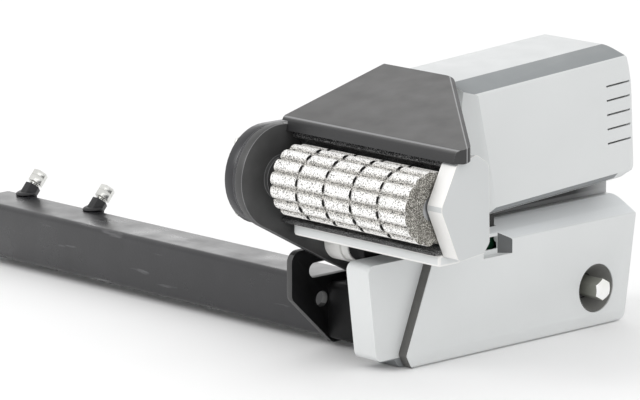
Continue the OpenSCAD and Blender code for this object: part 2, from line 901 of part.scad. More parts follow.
// Casting with a blind seat for the shaft's outer bush, pocketed behind
module end_cap() {
    pocket = cap_depth - 6;
    color("#d9dbdc") difference() {
        along_x(end_x0, cap_x1) cap_outline();
        intersection() {
            along_x(end_x0 - 1, end_x0 + pocket) cap_outline(6);
            translate([end_x0 - 1, roller_y + end_bush_d, 0]) cube([pocket + 1, far, far]);
        }
        bar(axis_0, end_bush_d, end_x0 - 1, end_x0 + end_bush_len);
    }
}

// Channel that wraps the back of the roller, between the gear case and the end cap
module yoke_outline() {
    reach = 120;
    foot_a = -88;
    top_a = 68;
    intersection() {
        difference() {
            circle(r = yoke_r + yoke_t);
            circle(r = yoke_r);
        }
        polygon([[0, 0], reach * [cos(foot_a), sin(foot_a)], [reach, -reach], [reach, reach],
            reach * [cos(top_a), sin(top_a)]]);
    }
}

module yoke_channel() {
    color("#26272a") along_x(cover_x1, end_x0) translate(axis_0) yoke_outline();
}

lip_z = 52;
lip_x0 = cover_x1 + 5;
lip_y = -57;
lip_w = 25;
lip_r = 7;
lip_h = roller_z - yoke_r - yoke_t - lip_z - slack;
module lower_lip() {
    pts = [[lip_x0, lip_y], [end_x0, lip_y], [end_x0, lip_y + lip_w], [lip_x0, lip_y + lip_w]];
    color("#d0d2d3") translate([0, 0, lip_z]) linear_extrude(lip_h)
        polygon(rounded(pts, [lip_r, 0, 0, lip_r]));
}

// Tie between the arms: bright bush at the gear case, dark tube beyond it
module tie_bush() {
    color("#c4c6c8") difference() {
        union() {
            bar([tie_y, tie_z], tie_bush_d, cover_x1, cover_x1 + tie_bush_len - 8);
            bar([tie_y, tie_z], tie_bush_d - 4, cover_x1, cover_x1 + tie_bush_len);
        }
        bar([tie_y, tie_z], tie_d, cover_x1 - 1, cover_x1 + tie_bush_len + 1);
    }
}

module tie_tube() {
    color("#1b1c1e") {
        bar([tie_y, tie_z], tie_d, cover_x1 - arm_t + 2, outer_arm_x + arm_t);
        bar([tie_y, tie_z], tie_d + 10, cover_x1 + tie_bush_len, outer_arm_x);
    }
}

module outer_arm() {
    seat_r = 8;
    color("#202124") difference() {
        along_x(outer_arm_x, outer_arm_x + arm_t) hull() {
            translate([tie_y, tie_z]) circle(r = tie_arm_r - 3, $fn = 32);
            translate([guide_y, slot_z]) circle(r = guide_arm_r, $fn = 32);
            translate([tray_seat_y, tray_under(tray_seat_y) - seat_r - slack]) circle(r = seat_r, $fn = 32);
        }
        bar([tie_y, tie_z], tie_d, outer_arm_x - 1, outer_arm_x + arm_t + 1);
        bar([guide_y, slot_z], guide_pin_d, outer_arm_x - 1, outer_arm_x + arm_t + 1);
    }
}

// Guide pins that run in the slots of the bracket plates, with their bushes
module guide_pins() {
    color("#9a9da0") {
        bar([guide_y, slot_z], guide_pin_d, bracket_x - bracket_t, cover_x1);
        bar([guide_y, slot_z], guide_pin_d, outer_arm_x, outer_bracket_x + bracket_t - slack);
    }
}

module guide_bush(x0, x1) {
    difference() {
        bar([guide_y, slot_z], guide_d, x0, x1);
        bar([guide_y, slot_z], guide_pin_d, x0 - 1, x1 + 1);
    }
}

module guide_bushes() {
    color("#d8d3c0") {
        guide_bush(bracket_x - bracket_t, case_x1);
        guide_bush(outer_arm_x + arm_t, outer_bracket_x + bracket_t - slack);
    }
}

// Lower housing: side outlines of the cover and of the side panel, and their common cross section
lower_heel_y = 258;
deck_y0 = 66;
ramp_y0 = 40;
lower_toe_y = -34;
lower_tip_y = -45;
block_floor_z = 0.5 - tube_w;
block_back_y = -14;
floor_front_y = -7;
function cover_back(inset) = [[lower_heel_y - inset, floor_z + inset], [lower_back_y - inset, side_top_z],
    [lower_back_y - 2 - inset, deck_z - inset], [deck_y0 + inset, deck_z - inset],
    [ramp_y0 + inset, lower_nose_z - inset]];
function cover_side(inset) = [[lower_toe_y + inset, block_floor_z + inset],
    [block_back_y, block_floor_z + inset], [floor_front_y, floor_z + inset], each cover_back(inset),
    [lower_tip_y + inset, lower_nose_z - inset]];
cover_radii = [8, 2, 2, 10, 4, 6, 6, 6, 7];

// Front edge of the side panel, from its top to its foot
panel_edge = [[23, lower_nose_z], [-9, -46], [-3, floor_z]];
function panel_side(inset) = [panel_edge[2] + [inset, inset], each cover_back(inset),
    panel_edge[0] + [inset, -inset], panel_edge[1] + [inset, 0]];
panel_radii = [5, 10, 4, 6, 6, 6, 2, 4];

module lower_section(inset) {
    x1 = panel_x - inset;
    pts = [[lower_x0 + inset, floor_z + inset], [x1, floor_z + inset], [x1, side_top_z - inset / 2],
        [panel_x - side_chamfer_w - inset / 4, deck_z - inset], [lower_x0 + inset, deck_z - inset]];
    translate([0, far / 2, 0]) rotate([90, 0, 0]) linear_extrude(far)
        polygon(rounded(pts, [4, 2.5, 2.5, 3, 4], 4));
}

module lower_block(inset) {
    x1 = lower_x1 - inset;
    intersection() {
        union() {
            along_x(lower_front_x + inset, x1) polygon(rounded(cover_side(inset), cover_radii));
            intersection() {
                along_x(lower_x0, x1) polygon(rounded(cover_side(inset), cover_radii));
                translate([0, lower_wide_y + inset, floor_z - 1]) cube(far);
            }
        }
        lower_section(inset);
    }
}

// Opening in the wheel side of the cover, with a flange that the side panel seats on
module cover_mouth() {
    flange = 12;
    intersection() {
        along_x(lower_x1 - skin - 1, lower_x1 + 1) polygon(rounded(panel_side(flange), panel_radii));
        lower_section(flange - skin);
    }
}

// Deck slot for a piece that hangs from the moving tray
module deck_slot(x0, x1, y0, y1) {
    gap = 1;
    translate([x0 - gap, y0 - travel - gap, deck_z - 20])
        cube([x1 - x0 + 2 * gap, y1 - y0 + travel + 2 * gap, 40]);
}

engage_at = [engage_y, engage_z];
bush_d = engage_d + 6;
tube_fit = 0.4;
module lower_cover() {
    side = tube_w + 2 * tube_fit;
    color("#d6d8d9") difference() {
        lower_block(0);
        lower_block(skin);
        cover_mouth();
        window();
        translate([lower_front_x - 1, -tube_fit, -tube_w - tube_fit]) cube([skin + 2, side, side]);
        deck_slot(rack_x, rack_x + rack_w, tail_y0, tail_y1);
        deck_slot(flag_x, flag_x + flag_t, flag_y0, flag_y1);
        at_cover_bolts() bar([0, 0], cover_bolt_d, lower_front_x - 1, lower_front_x + skin + 1);
        bar(engage_at, bush_d, lower_x0 - 1, lower_x0 + skin + 1);
    }
}

window_y0 = 82;
window_y1 = 117;
window_z = 24;
window_slant = 9;
trim_t = 4;
module panel_block() {
    intersection() {
        along_x(lower_x1, panel_x) polygon(rounded(panel_side(0), panel_radii));
        lower_section(0);
    }
}

// Walls of the pocket round the window, and the pocket with its slanted back end
module pocket_walls() {
    translate([lower_x1, window_y0 - skin, window_z - skin])
        cube([panel_step, window_y1 - window_y0 + 2 * skin, far]);
}

module pocket() {
    floor_x = lower_x1 + skin / 2;
    translate([0, 0, window_z]) linear_extrude(far)
        polygon([[floor_x, window_y0], [panel_x + 1, window_y0], [panel_x + 1, window_y1 + 1],
            [panel_x, window_y1], [floor_x, window_y1 - window_slant]]);
}

// Window in the pocket's floor, through which the flag shows
window_lift = 4;
window_h = 11;
window_w = 16;
module window() {
    translate([lower_x1 - skin - 1, window_y1 - window_slant - window_w, window_z + window_lift])
        cube([panel_step, window_w, window_h]);
}

module lower_side_panel() {
    color("#d6d8d9") difference() {
        union() {
            difference() {
                panel_block();
                intersection() {
                    along_x(lower_x1 - 1, panel_x) polygon(rounded(panel_side(skin), panel_radii));
                    lower_section(skin);
                }
            }
            intersection() {
                panel_block();
                pocket_walls();
            }
        }
        pocket();
        window();
        bar(engage_at, access_d, lower_x1 - 1, panel_x + 1);
        panel_trim_block(slack / 3);
    }
}

// Dark strip along the slanted front edge of the side panel
module panel_trim_block(gap) {
    reach = trim_t + gap;
    line = [panel_edge[0] + [0, 1], panel_edge[1], panel_edge[2] - [0, 1]];
    along_x(lower_x1 - gap, panel_x - 1 + gap)
        polygon([line[0] - [20, 0], line[1] - [20, 0], line[2] - [20, 0], line[2] + [reach, 0],
            line[1] + [reach, 0], line[0] + [reach, 0]]);
}

module panel_trim() {
    color("#6c6e6c") intersection() {
        along_x(lower_x1, panel_x) polygon(rounded(panel_side(0), panel_radii));
        panel_trim_block(0);
    }
}

// Engagement drive: gear motor in the lower housing, turning the pinion under the rack
hex_x0 = gearbox_x0 + gearbox_w + 2;
hex_proud = 9;
hex_len = panel_x + hex_proud - hex_x0;
hex_face_r = hex_af / 2 - 0.8;
module engage_shaft() {
    color("#e8e8e6") {
        bar(engage_at, engage_d, lower_x0 + 1, hex_x0 + 1);
        translate([hex_x0, engage_y, engage_z]) rotate([0, 90, 0]) intersection() {
            hexagon(hex_af, hex_len);
            cylinder(r1 = hex_face_r + hex_len * tan(60), r2 = hex_face_r, h = hex_len);
        }
    }
}

module engage_pinion() {
    gear_x = rack_x - 1;
    color("#77797c") difference() {
        spur_gear(engage_at, engage_m, engage_teeth, 90 - 180 / engage_teeth, gear_x, rack_w + 2);
        bar(engage_at, engage_d, gear_x - 1, gear_x + rack_w + 4);
    }
}

gearbox_y0 = engage_y - 28;
gearbox_y1 = engage_y + 28;
gearbox_z1 = engage_z + 29;
module engage_gearbox() {
    pts = [[gearbox_y0, floor_z + skin], [gearbox_y1, floor_z + skin], [gearbox_y1, gearbox_z1],
        [gearbox_y0, gearbox_z1]];
    color("#55575a") difference() {
        along_x(gearbox_x0, gearbox_x0 + gearbox_w) polygon(rounded(pts, [4, 4, 16, 8]));
        bar(engage_at, engage_d + 2 * run_gap, gearbox_x0 - 1, gearbox_x0 + gearbox_w + 1);
    }
}

engage_motor_d = 40;
engage_motor_len = 84;
module engage_motor() {
    at = [gearbox_x0 + gearbox_w / 2, gearbox_y0, floor_z + skin + engage_motor_d / 2 + 2];
    color("#3a3b3e") translate(at) rotate([90, 0, 0]) {
        cylinder(d = engage_motor_d, h = engage_motor_len - 10);
        cylinder(d = engage_motor_d - 14, h = engage_motor_len);
    }
}

module engage_bush() {
    flange = 2;
    color("#b08d57") difference() {
        union() {
            bar(engage_at, bush_d, lower_x0, lower_x0 + skin + 4);
            bar(engage_at, bush_d + 8, lower_x0 + skin, lower_x0 + skin + flange);
        }
        bar(engage_at, engage_d + 2 * run_gap, lower_x0 - 1, lower_x0 + skin + 6);
    }
}

place() cross_tube();
place() weld_nuts();
place() clamp_bolts();
place() clamp_lock_nuts();
place() inner_bracket();
place() outer_bracket();
place() gear_case();
place() gear_case_cover();
place() roller();
place() roller_shaft();
place() roller_gear();
place() roller_bearings();
place() idler_gear_1();
place() idler_gear_2();
place() idler_gear_3();
place() idler_axles();
place() motor_can();
place() motor_end_bell();
place() motor_armature();
place() motor_shaft();
place() motor_tray();
place() roller_cover();
place() motor_cover();
place() corner_fairing();
place() end_cap();
place() yoke_channel();
place() lower_lip();
place() tie_bush();
place() tie_tube();
place() outer_arm();
place() guide_pins();
place() guide_bushes();
place() rack_tail();
place() lower_cover();
place() lower_side_panel();
place() panel_trim();
place() engage_shaft();
place() engage_pinion();
place() engage_gearbox();
place() engage_motor();
place() engage_bush();
place() slide_pads();
place() position_flag();
place() cover_bolts();
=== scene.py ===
"""Caravan mover drive unit: finishes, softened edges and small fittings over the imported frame."""
import json
import logging
import math
from abc import ABC, abstractmethod
from dataclasses import dataclass, field
from enum import Enum

import bmesh
import bpy
from mathutils import Matrix, Vector


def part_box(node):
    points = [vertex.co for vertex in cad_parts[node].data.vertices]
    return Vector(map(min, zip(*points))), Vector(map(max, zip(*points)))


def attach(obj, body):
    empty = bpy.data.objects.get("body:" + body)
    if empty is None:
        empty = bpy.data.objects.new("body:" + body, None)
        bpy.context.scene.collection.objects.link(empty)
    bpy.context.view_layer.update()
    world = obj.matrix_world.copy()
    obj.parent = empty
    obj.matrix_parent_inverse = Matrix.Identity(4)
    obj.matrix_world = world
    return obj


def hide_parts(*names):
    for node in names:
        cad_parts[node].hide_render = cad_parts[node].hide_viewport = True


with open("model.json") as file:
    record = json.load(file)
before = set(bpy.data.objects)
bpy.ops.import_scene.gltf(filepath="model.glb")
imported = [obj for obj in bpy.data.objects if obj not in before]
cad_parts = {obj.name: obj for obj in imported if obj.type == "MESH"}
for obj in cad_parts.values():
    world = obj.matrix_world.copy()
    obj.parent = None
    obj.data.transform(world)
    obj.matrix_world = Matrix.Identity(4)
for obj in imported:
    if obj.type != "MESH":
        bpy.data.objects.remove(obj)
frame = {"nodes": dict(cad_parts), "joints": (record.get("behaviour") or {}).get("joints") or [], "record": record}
LOG = logging.getLogger("mover")

Rgb = tuple[float, float, float]
Xyz = tuple[float, float, float]
Socket = bpy.types.NodeSocket
MM = 0.001
MERGE_DIST = 0.02 * MM
FLAT_ANGLE = math.radians(0.5)
SMOOTH_ANGLE = math.radians(30.0)
MIX_FIRST, MIX_SECOND, MIX_RESULT = 6, 7, 2
BODY_OF: dict[str, str] = {
    node: body
    for body, nodes in frame["record"]["behaviour"]["bodies"].items()
    for node in nodes
}


class Graph:
    """A material's node tree with one Principled shader, and short ways to add patterns to it."""

    def __init__(self, name: str, metallic: float, roughness: float) -> None:
        """Starts an empty tree with its shader and output.

        Args:
            name: Name of the new material.
            metallic: Metallic value of the shader.
            roughness: Roughness where no pattern drives it.
        """
        self.material = bpy.data.materials.new(name)
        self.material.use_nodes = True
        self.tree = self.material.node_tree
        self.tree.nodes.clear()
        self.shader = self.add("ShaderNodeBsdfPrincipled")
        self.shader.inputs["Metallic"].default_value = metallic
        self.shader.inputs["Roughness"].default_value = roughness
        output = self.add("ShaderNodeOutputMaterial")
        self.link(self.shader.outputs["BSDF"], output.inputs["Surface"])
        self.place = self.add("ShaderNodeTexCoord").outputs["Object"]

    def add(self, kind: str) -> bpy.types.Node:
        """Adds a node of the given kind."""
        return self.tree.nodes.new(kind)

    def link(self, source: Socket, target: Socket) -> None:
        """Links two sockets."""
        self.tree.links.new(source, target)

    def stretched(self, stretch: Xyz) -> Socket:
        """Stretches the object coordinates.

        Args:
            stretch: Factor along X, Y and Z.

        Returns:
            The stretched coordinates' socket.
        """
        mapping = self.add("ShaderNodeMapping")
        mapping.inputs["Scale"].default_value = stretch
        self.link(self.place, mapping.inputs["Vector"])
        return mapping.outputs["Vector"]

    def noise(self, scale: float, detail: float = 3.0, stretch: Xyz | None = None) -> Socket:
        """Adds a noise pattern.

        Args:
            scale: Pattern cells per metre.
            detail: Octaves of finer noise.
            stretch: Stretch of the coordinates, or None for an even pattern.

        Returns:
            The pattern's value socket.
        """
        node = self.add("ShaderNodeTexNoise")
        node.inputs["Scale"].default_value = scale
        node.inputs["Detail"].default_value = detail
        self.link(self.stretched(stretch) if stretch else self.place, node.inputs["Vector"])
        return node.outputs["Fac"]

    def along(self, direction: Xyz) -> Socket:
        """Measures how far a point lies along a direction.

        Args:
            direction: Direction to measure along.

        Returns:
            The distance's socket.
        """
        node = self.add("ShaderNodeVectorMath")
        node.operation = "DOT_PRODUCT"
        node.inputs[1].default_value = direction
        self.link(self.place, node.inputs[0])
        return node.outputs["Value"]

    def maths(self, operation: str, first: Socket, second: Socket | float) -> Socket:
        """Adds a sum on two values.

        Args:
            operation: Name of the sum, such as MULTIPLY.
            first: First value.
            second: Second value, a socket or a number.

        Returns:
            The result's socket.
        """
        node = self.add("ShaderNodeMath")
        node.operation = operation
        self.link(first, node.inputs[0])
        if isinstance(second, float):
            node.inputs[1].default_value = second
        else:
            self.link(second, node.inputs[1])
        return node.outputs["Value"]

    def off_rib(self, axis: tuple[float, float], count: int) -> Socket:
        """Gives 0 on the middle of each rib of a roller along X and 1 in each valley.

        Args:
            axis: Y and Z of the roller's axis.
            count: Number of ribs.

        Returns:
            The value's socket.
        """
        mapping = self.add("ShaderNodeMapping")
        mapping.inputs["Location"].default_value = (0.0, -axis[0], -axis[1])
        self.link(self.place, mapping.inputs["Vector"])
        parts = self.add("ShaderNodeSeparateXYZ")
        self.link(mapping.outputs["Vector"], parts.inputs["Vector"])
        turn = self.maths("ARCTAN2", parts.outputs["Z"], parts.outputs["Y"])
        ribs = self.maths("MULTIPLY", turn, count / math.tau)
        return self.maths("MULTIPLY", self.maths("PINGPONG", ribs, 0.5), 2.0)

    def cells(self, scale: float) -> Socket:
        """Adds a cell pattern.

        Args:
            scale: Pattern cells per metre.

        Returns:
            The socket of the distance to the nearest cell.
        """
        node = self.add("ShaderNodeTexVoronoi")
        node.inputs["Scale"].default_value = scale
        self.link(self.place, node.inputs["Vector"])
        return node.outputs["Distance"]

    def ramp(self, value: Socket, stops: list[tuple[float, Rgb]]) -> Socket:
        """Turns a value into a colour.

        Args:
            value: Socket that drives the ramp.
            stops: Position and colour of each stop, in rising order.

        Returns:
            The colour socket.
        """
        node = self.add("ShaderNodeValToRGB")
        elements = node.color_ramp.elements
        while len(elements) < len(stops):
            elements.new(0.5)
        for element, (position, colour) in zip(elements, stops):
            element.position = position
            element.color = (*colour, 1.0)
        self.link(value, node.inputs["Fac"])
        return node.outputs["Color"]

    def mottled(self, tone: Rgb, dim: float, scale: float, detail: float = 3.0) -> Socket:
        """Gives a tone that is dimmed in places.

        Args:
            tone: Full tone.
            dim: Factor of the tone in the dimmed places.
            scale: Pattern cells per metre.
            detail: Octaves of finer noise.

        Returns:
            The colour socket.
        """
        return self.ramp(self.noise(scale, detail), [(0.3, toned(tone, dim)), (0.7, tone)])

    def span(self, value: Socket, low: float, high: float, start: float = 0.3,
             end: float = 0.7) -> Socket:
        """Maps a value onto a range, clamped at both ends.

        Args:
            value: Socket to map, such as a noise value.
            low: Result at the start.
            high: Result at the end.
            start: Value that gives low.
            end: Value that gives high.

        Returns:
            The mapped socket.
        """
        node = self.add("ShaderNodeMapRange")
        node.inputs["From Min"].default_value = start
        node.inputs["From Max"].default_value = end
        node.inputs["To Min"].default_value = low
        node.inputs["To Max"].default_value = high
        self.link(value, node.inputs["Value"])
        return node.outputs["Result"]

    def mix(self, share: Socket, first: Socket, second: Socket) -> Socket:
        """Mixes two colours by a share.

        Args:
            share: Share of the second colour.
            first: Colour where the share is 0.
            second: Colour where the share is 1.

        Returns:
            The mixed colour socket.
        """
        node = self.add("ShaderNodeMix")
        node.data_type = "RGBA"
        self.link(share, node.inputs["Factor"])
        self.link(first, node.inputs[MIX_FIRST])
        self.link(second, node.inputs[MIX_SECOND])
        return node.outputs[MIX_RESULT]

    def colour(self, socket: Socket) -> None:
        """Drives the base colour."""
        self.link(socket, self.shader.inputs["Base Color"])

    def rough(self, socket: Socket) -> None:
        """Drives the roughness."""
        self.link(socket, self.shader.inputs["Roughness"])

    def bump(self, height: Socket, strength: float, depth: float) -> None:
        """Adds a bump on top of the bumps made so far.

        Args:
            height: Height pattern.
            strength: Strength from 0 to 1.
            depth: Depth of the pattern in metres.
        """
        node = self.add("ShaderNodeBump")
        node.inputs["Strength"].default_value = strength
        node.inputs["Distance"].default_value = depth
        self.link(height, node.inputs["Height"])
        normal = self.shader.inputs["Normal"]
        if normal.links:
            self.link(normal.links[0].from_socket, node.inputs["Normal"])
        self.link(node.outputs["Normal"], normal)


def toned(colour: Rgb, factor: float) -> Rgb:
    """Gives a colour made lighter or darker by a factor."""
    red, green, blue = (min(1.0, part * factor) for part in colour)
    return red, green, blue


@dataclass(frozen=True)
class Finish(ABC):
    """A surface finish that can make its material."""

    name: str
    tone: Rgb
    roughness: float

    @abstractmethod
    def graph(self) -> Graph:
        """Builds the node tree of this finish."""

    def material(self) -> bpy.types.Material:
        """Gives the finish's material, made on first use."""
        return bpy.data.materials.get(self.name) or self.graph().material


@dataclass(frozen=True)
class MouldedPlastic(Finish):
    """Injection-moulded plastic with a fine eroded grain."""

    grain: float = 1500.0
    grain_depth: float = 0.00012
    swing: float = 0.04
    gloss: float = 0.42
    mottle: float = 9.0
    patches: float = 45.0
    relief: float = 0.35

    def graph(self) -> Graph:
        """Builds mottled colour, uneven gloss and fine grain.

        Returns:
            The node tree.
        """
        g = Graph(self.name, 0.0, self.roughness)
        g.shader.inputs["Specular IOR Level"].default_value = self.gloss
        g.colour(g.mottled(self.tone, 1 - self.swing, self.mottle, 4.0))
        g.rough(g.span(g.noise(self.patches), self.roughness - 0.05, self.roughness + 0.06))
        g.bump(g.noise(self.grain, 2.0), self.relief, self.grain_depth)
        return g


@dataclass(frozen=True)
class ShadowTopped(MouldedPlastic):
    """Plastic whose upper part, beyond a level measured along a direction, is black as painted shadow from the
    parts above it.
    """

    black: Rgb = (0.008, 0.008, 0.008)
    upwards: Xyz = (0.0, 0.0, 1.0)
    black_from: float = 0.102
    black_edge: float = 0.001
    far: Rgb | None = None
    fade: tuple[float, float] = (0.14, 0.185)
    blotches: float = 40.0

    def graph(self) -> Graph:
        """Builds the plastic, the painted shadow on its upper part and its tone at the far end.

        Returns:
            The node tree.
        """
        g = super().graph()
        plain = g.shader.inputs["Base Color"].links[0].from_socket
        dark = g.mottled(self.black, 0.7, self.blotches)
        black_to = self.black_from + self.black_edge
        above = g.span(g.along(self.upwards), 0.0, 1.0, self.black_from, black_to)
        topped = g.mix(above, plain, dark)
        if self.far:
            end = g.mottled(self.far, 0.9, self.blotches)
            backwards = g.span(g.along((0.0, 1.0, 0.0)), 0.0, 1.0, *self.fade)
            topped = g.mix(backwards, topped, end)
        g.colour(topped)
        return g


@dataclass(frozen=True)
class PowderCoat(Finish):
    """Dark powder coat with orange peel and a little dust."""

    dust: Rgb = (0.16, 0.16, 0.17)
    peel: float = 420.0
    peel_depth: float = 0.00018
    gloss: float = 0.5
    dirt: float = 26.0
    patches: float = 30.0
    relief: float = 0.3

    def coat(self, g: Graph) -> Socket:
        """Builds the dusty colour of the coat."""
        stops = [(0.45, self.tone), (0.62, toned(self.tone, 1.25)), (0.85, self.dust)]
        return g.ramp(g.noise(self.dirt, 8.0), stops)

    def graph(self) -> Graph:
        """Builds dusty colour, uneven gloss and orange peel.

        Returns:
            The node tree.
        """
        g = Graph(self.name, 0.0, self.roughness)
        g.shader.inputs["Specular IOR Level"].default_value = self.gloss
        g.colour(self.coat(g))
        g.rough(g.span(g.noise(self.patches, 5.0), self.roughness - 0.06, self.roughness + 0.09))
        g.bump(g.noise(self.peel, 2.0), self.relief, self.peel_depth)
        return g


@dataclass(frozen=True)
class TubeCoat(PowderCoat):
    """Satin coat of the tube, with rubbed marks along it."""

    scuff: Rgb = (0.11, 0.11, 0.115)
    rubbed: Xyz = (16.0, 130.0, 130.0)
    blotches: float = 60.0

    def coat(self, g: Graph) -> Socket:
        """Builds the coat and its marks.

        Args:
            g: Node tree of the finish.

        Returns:
            The colour socket.
        """
        plain = super().coat(g)
        marks = g.span(g.noise(1.0, 5.0, self.rubbed), 0.0, 1.0, 0.66, 0.74)
        stops = [(0.4, toned(self.scuff, 0.7)), (0.6, self.scuff)]
        return g.mix(marks, plain, g.ramp(g.noise(self.blotches), stops))


@dataclass(frozen=True)
class SpeckledCoat(PowderCoat):
    """Coat with grit caught in it."""

    speck: Rgb = (0.20, 0.20, 0.20)
    speck_from: float = 0.58
    speck_edge: float = 0.1
    speck_scale: float = 1400.0
    blotches: float = 90.0

    def coat(self, g: Graph) -> Socket:
        """Builds the coat with pale specks.

        Args:
            g: Node tree of the finish.

        Returns:
            The colour socket.
        """
        speck_to = self.speck_from + self.speck_edge
        specks = g.span(g.noise(self.speck_scale), 0.0, 1.0, self.speck_from, speck_to)
        grit = g.mottled(self.speck, 0.5, self.blotches)
        return g.mix(specks, super().coat(g), grit)


@dataclass(frozen=True)
class GritCoat(Finish):
    """Grit bonded to the ribbed roller, with one tone on the ribs and another in the valleys, as painted light and
    shade of the ribs.
    """

    valley: Rgb = (0.74, 0.72, 0.68)
    axis: tuple[float, float] = (0.0, 0.0)
    ribs: int = 15
    rib_edge: tuple[float, float] = (0.35, 0.80)
    grain: float = 900.0
    rib_specks: float = 0.37
    valley_specks: float = 0.435
    grain_depth: float = 0.0005
    pit_depth: float = 0.0004

    def graph(self) -> Graph:
        """Builds the grains, the two tones and a rough sparkle.

        Returns:
            The node tree.
        """
        g = Graph(self.name, 0.0, self.roughness)
        grit = g.noise(self.grain, 5.0)
        rib = g.ramp(grit, self.specked(self.tone, self.rib_specks))
        valley = g.ramp(grit, self.specked(self.valley, self.valley_specks))
        # Painted light and shade: the tone follows the angle round the axis, from rib to valley.
        off_rib = g.span(g.off_rib(self.axis, self.ribs), 0.0, 1.0, *self.rib_edge)
        g.colour(g.mix(off_rib, rib, valley))
        g.rough(g.span(g.cells(self.grain * 0.8), self.roughness - 0.12, self.roughness + 0.15))
        g.bump(grit, 0.5, self.grain_depth)
        g.bump(g.cells(self.grain * 1.6), 0.35, self.pit_depth)
        return g

    def specked(self, tone: Rgb, start: float) -> list[tuple[float, Rgb]]:
        """Gives the stops of a tone with dark specks, which end at a grain value."""
        return [(start, toned(tone, 0.12)), (start + 0.07, toned(tone, 0.7)), (start + 0.12, tone)]


class Lay(Enum):
    """Direction of the tool marks on bare metal."""

    PLAIN = (40.0, 40.0, 40.0)
    TURNED = (1400.0, 6.0, 6.0)


@dataclass(frozen=True)
class BareMetal(Finish):
    """Plated or turned metal."""

    lay: Lay = Lay.PLAIN
    marks: float = 0.00006

    def graph(self) -> Graph:
        """Builds tool marks in colour, gloss and relief.

        Returns:
            The node tree.
        """
        g = Graph(self.name, 1.0, self.roughness)
        marks = g.noise(1.0, 4.0, self.lay.value)
        g.colour(g.ramp(marks, [(0.3, toned(self.tone, 0.78)), (0.68, self.tone)]))
        g.rough(g.span(marks, self.roughness - 0.07, self.roughness + 0.12))
        g.bump(marks, 0.3, self.marks)
        return g


@dataclass(frozen=True)
class WoundWire(Finish):
    """Enamelled wire wound along the armature."""

    strand: Xyz = (20.0, 900.0, 900.0)
    strand_depth: float = 0.0006

    def graph(self) -> Graph:
        """Builds strands side by side along X.

        Returns:
            The node tree.
        """
        g = Graph(self.name, 0.9, self.roughness)
        strands = g.noise(1.0, 2.0, self.strand)
        g.colour(g.ramp(strands, [(0.35, toned(self.tone, 0.45)), (0.6, self.tone)]))
        g.bump(strands, 0.8, self.strand_depth)
        return g


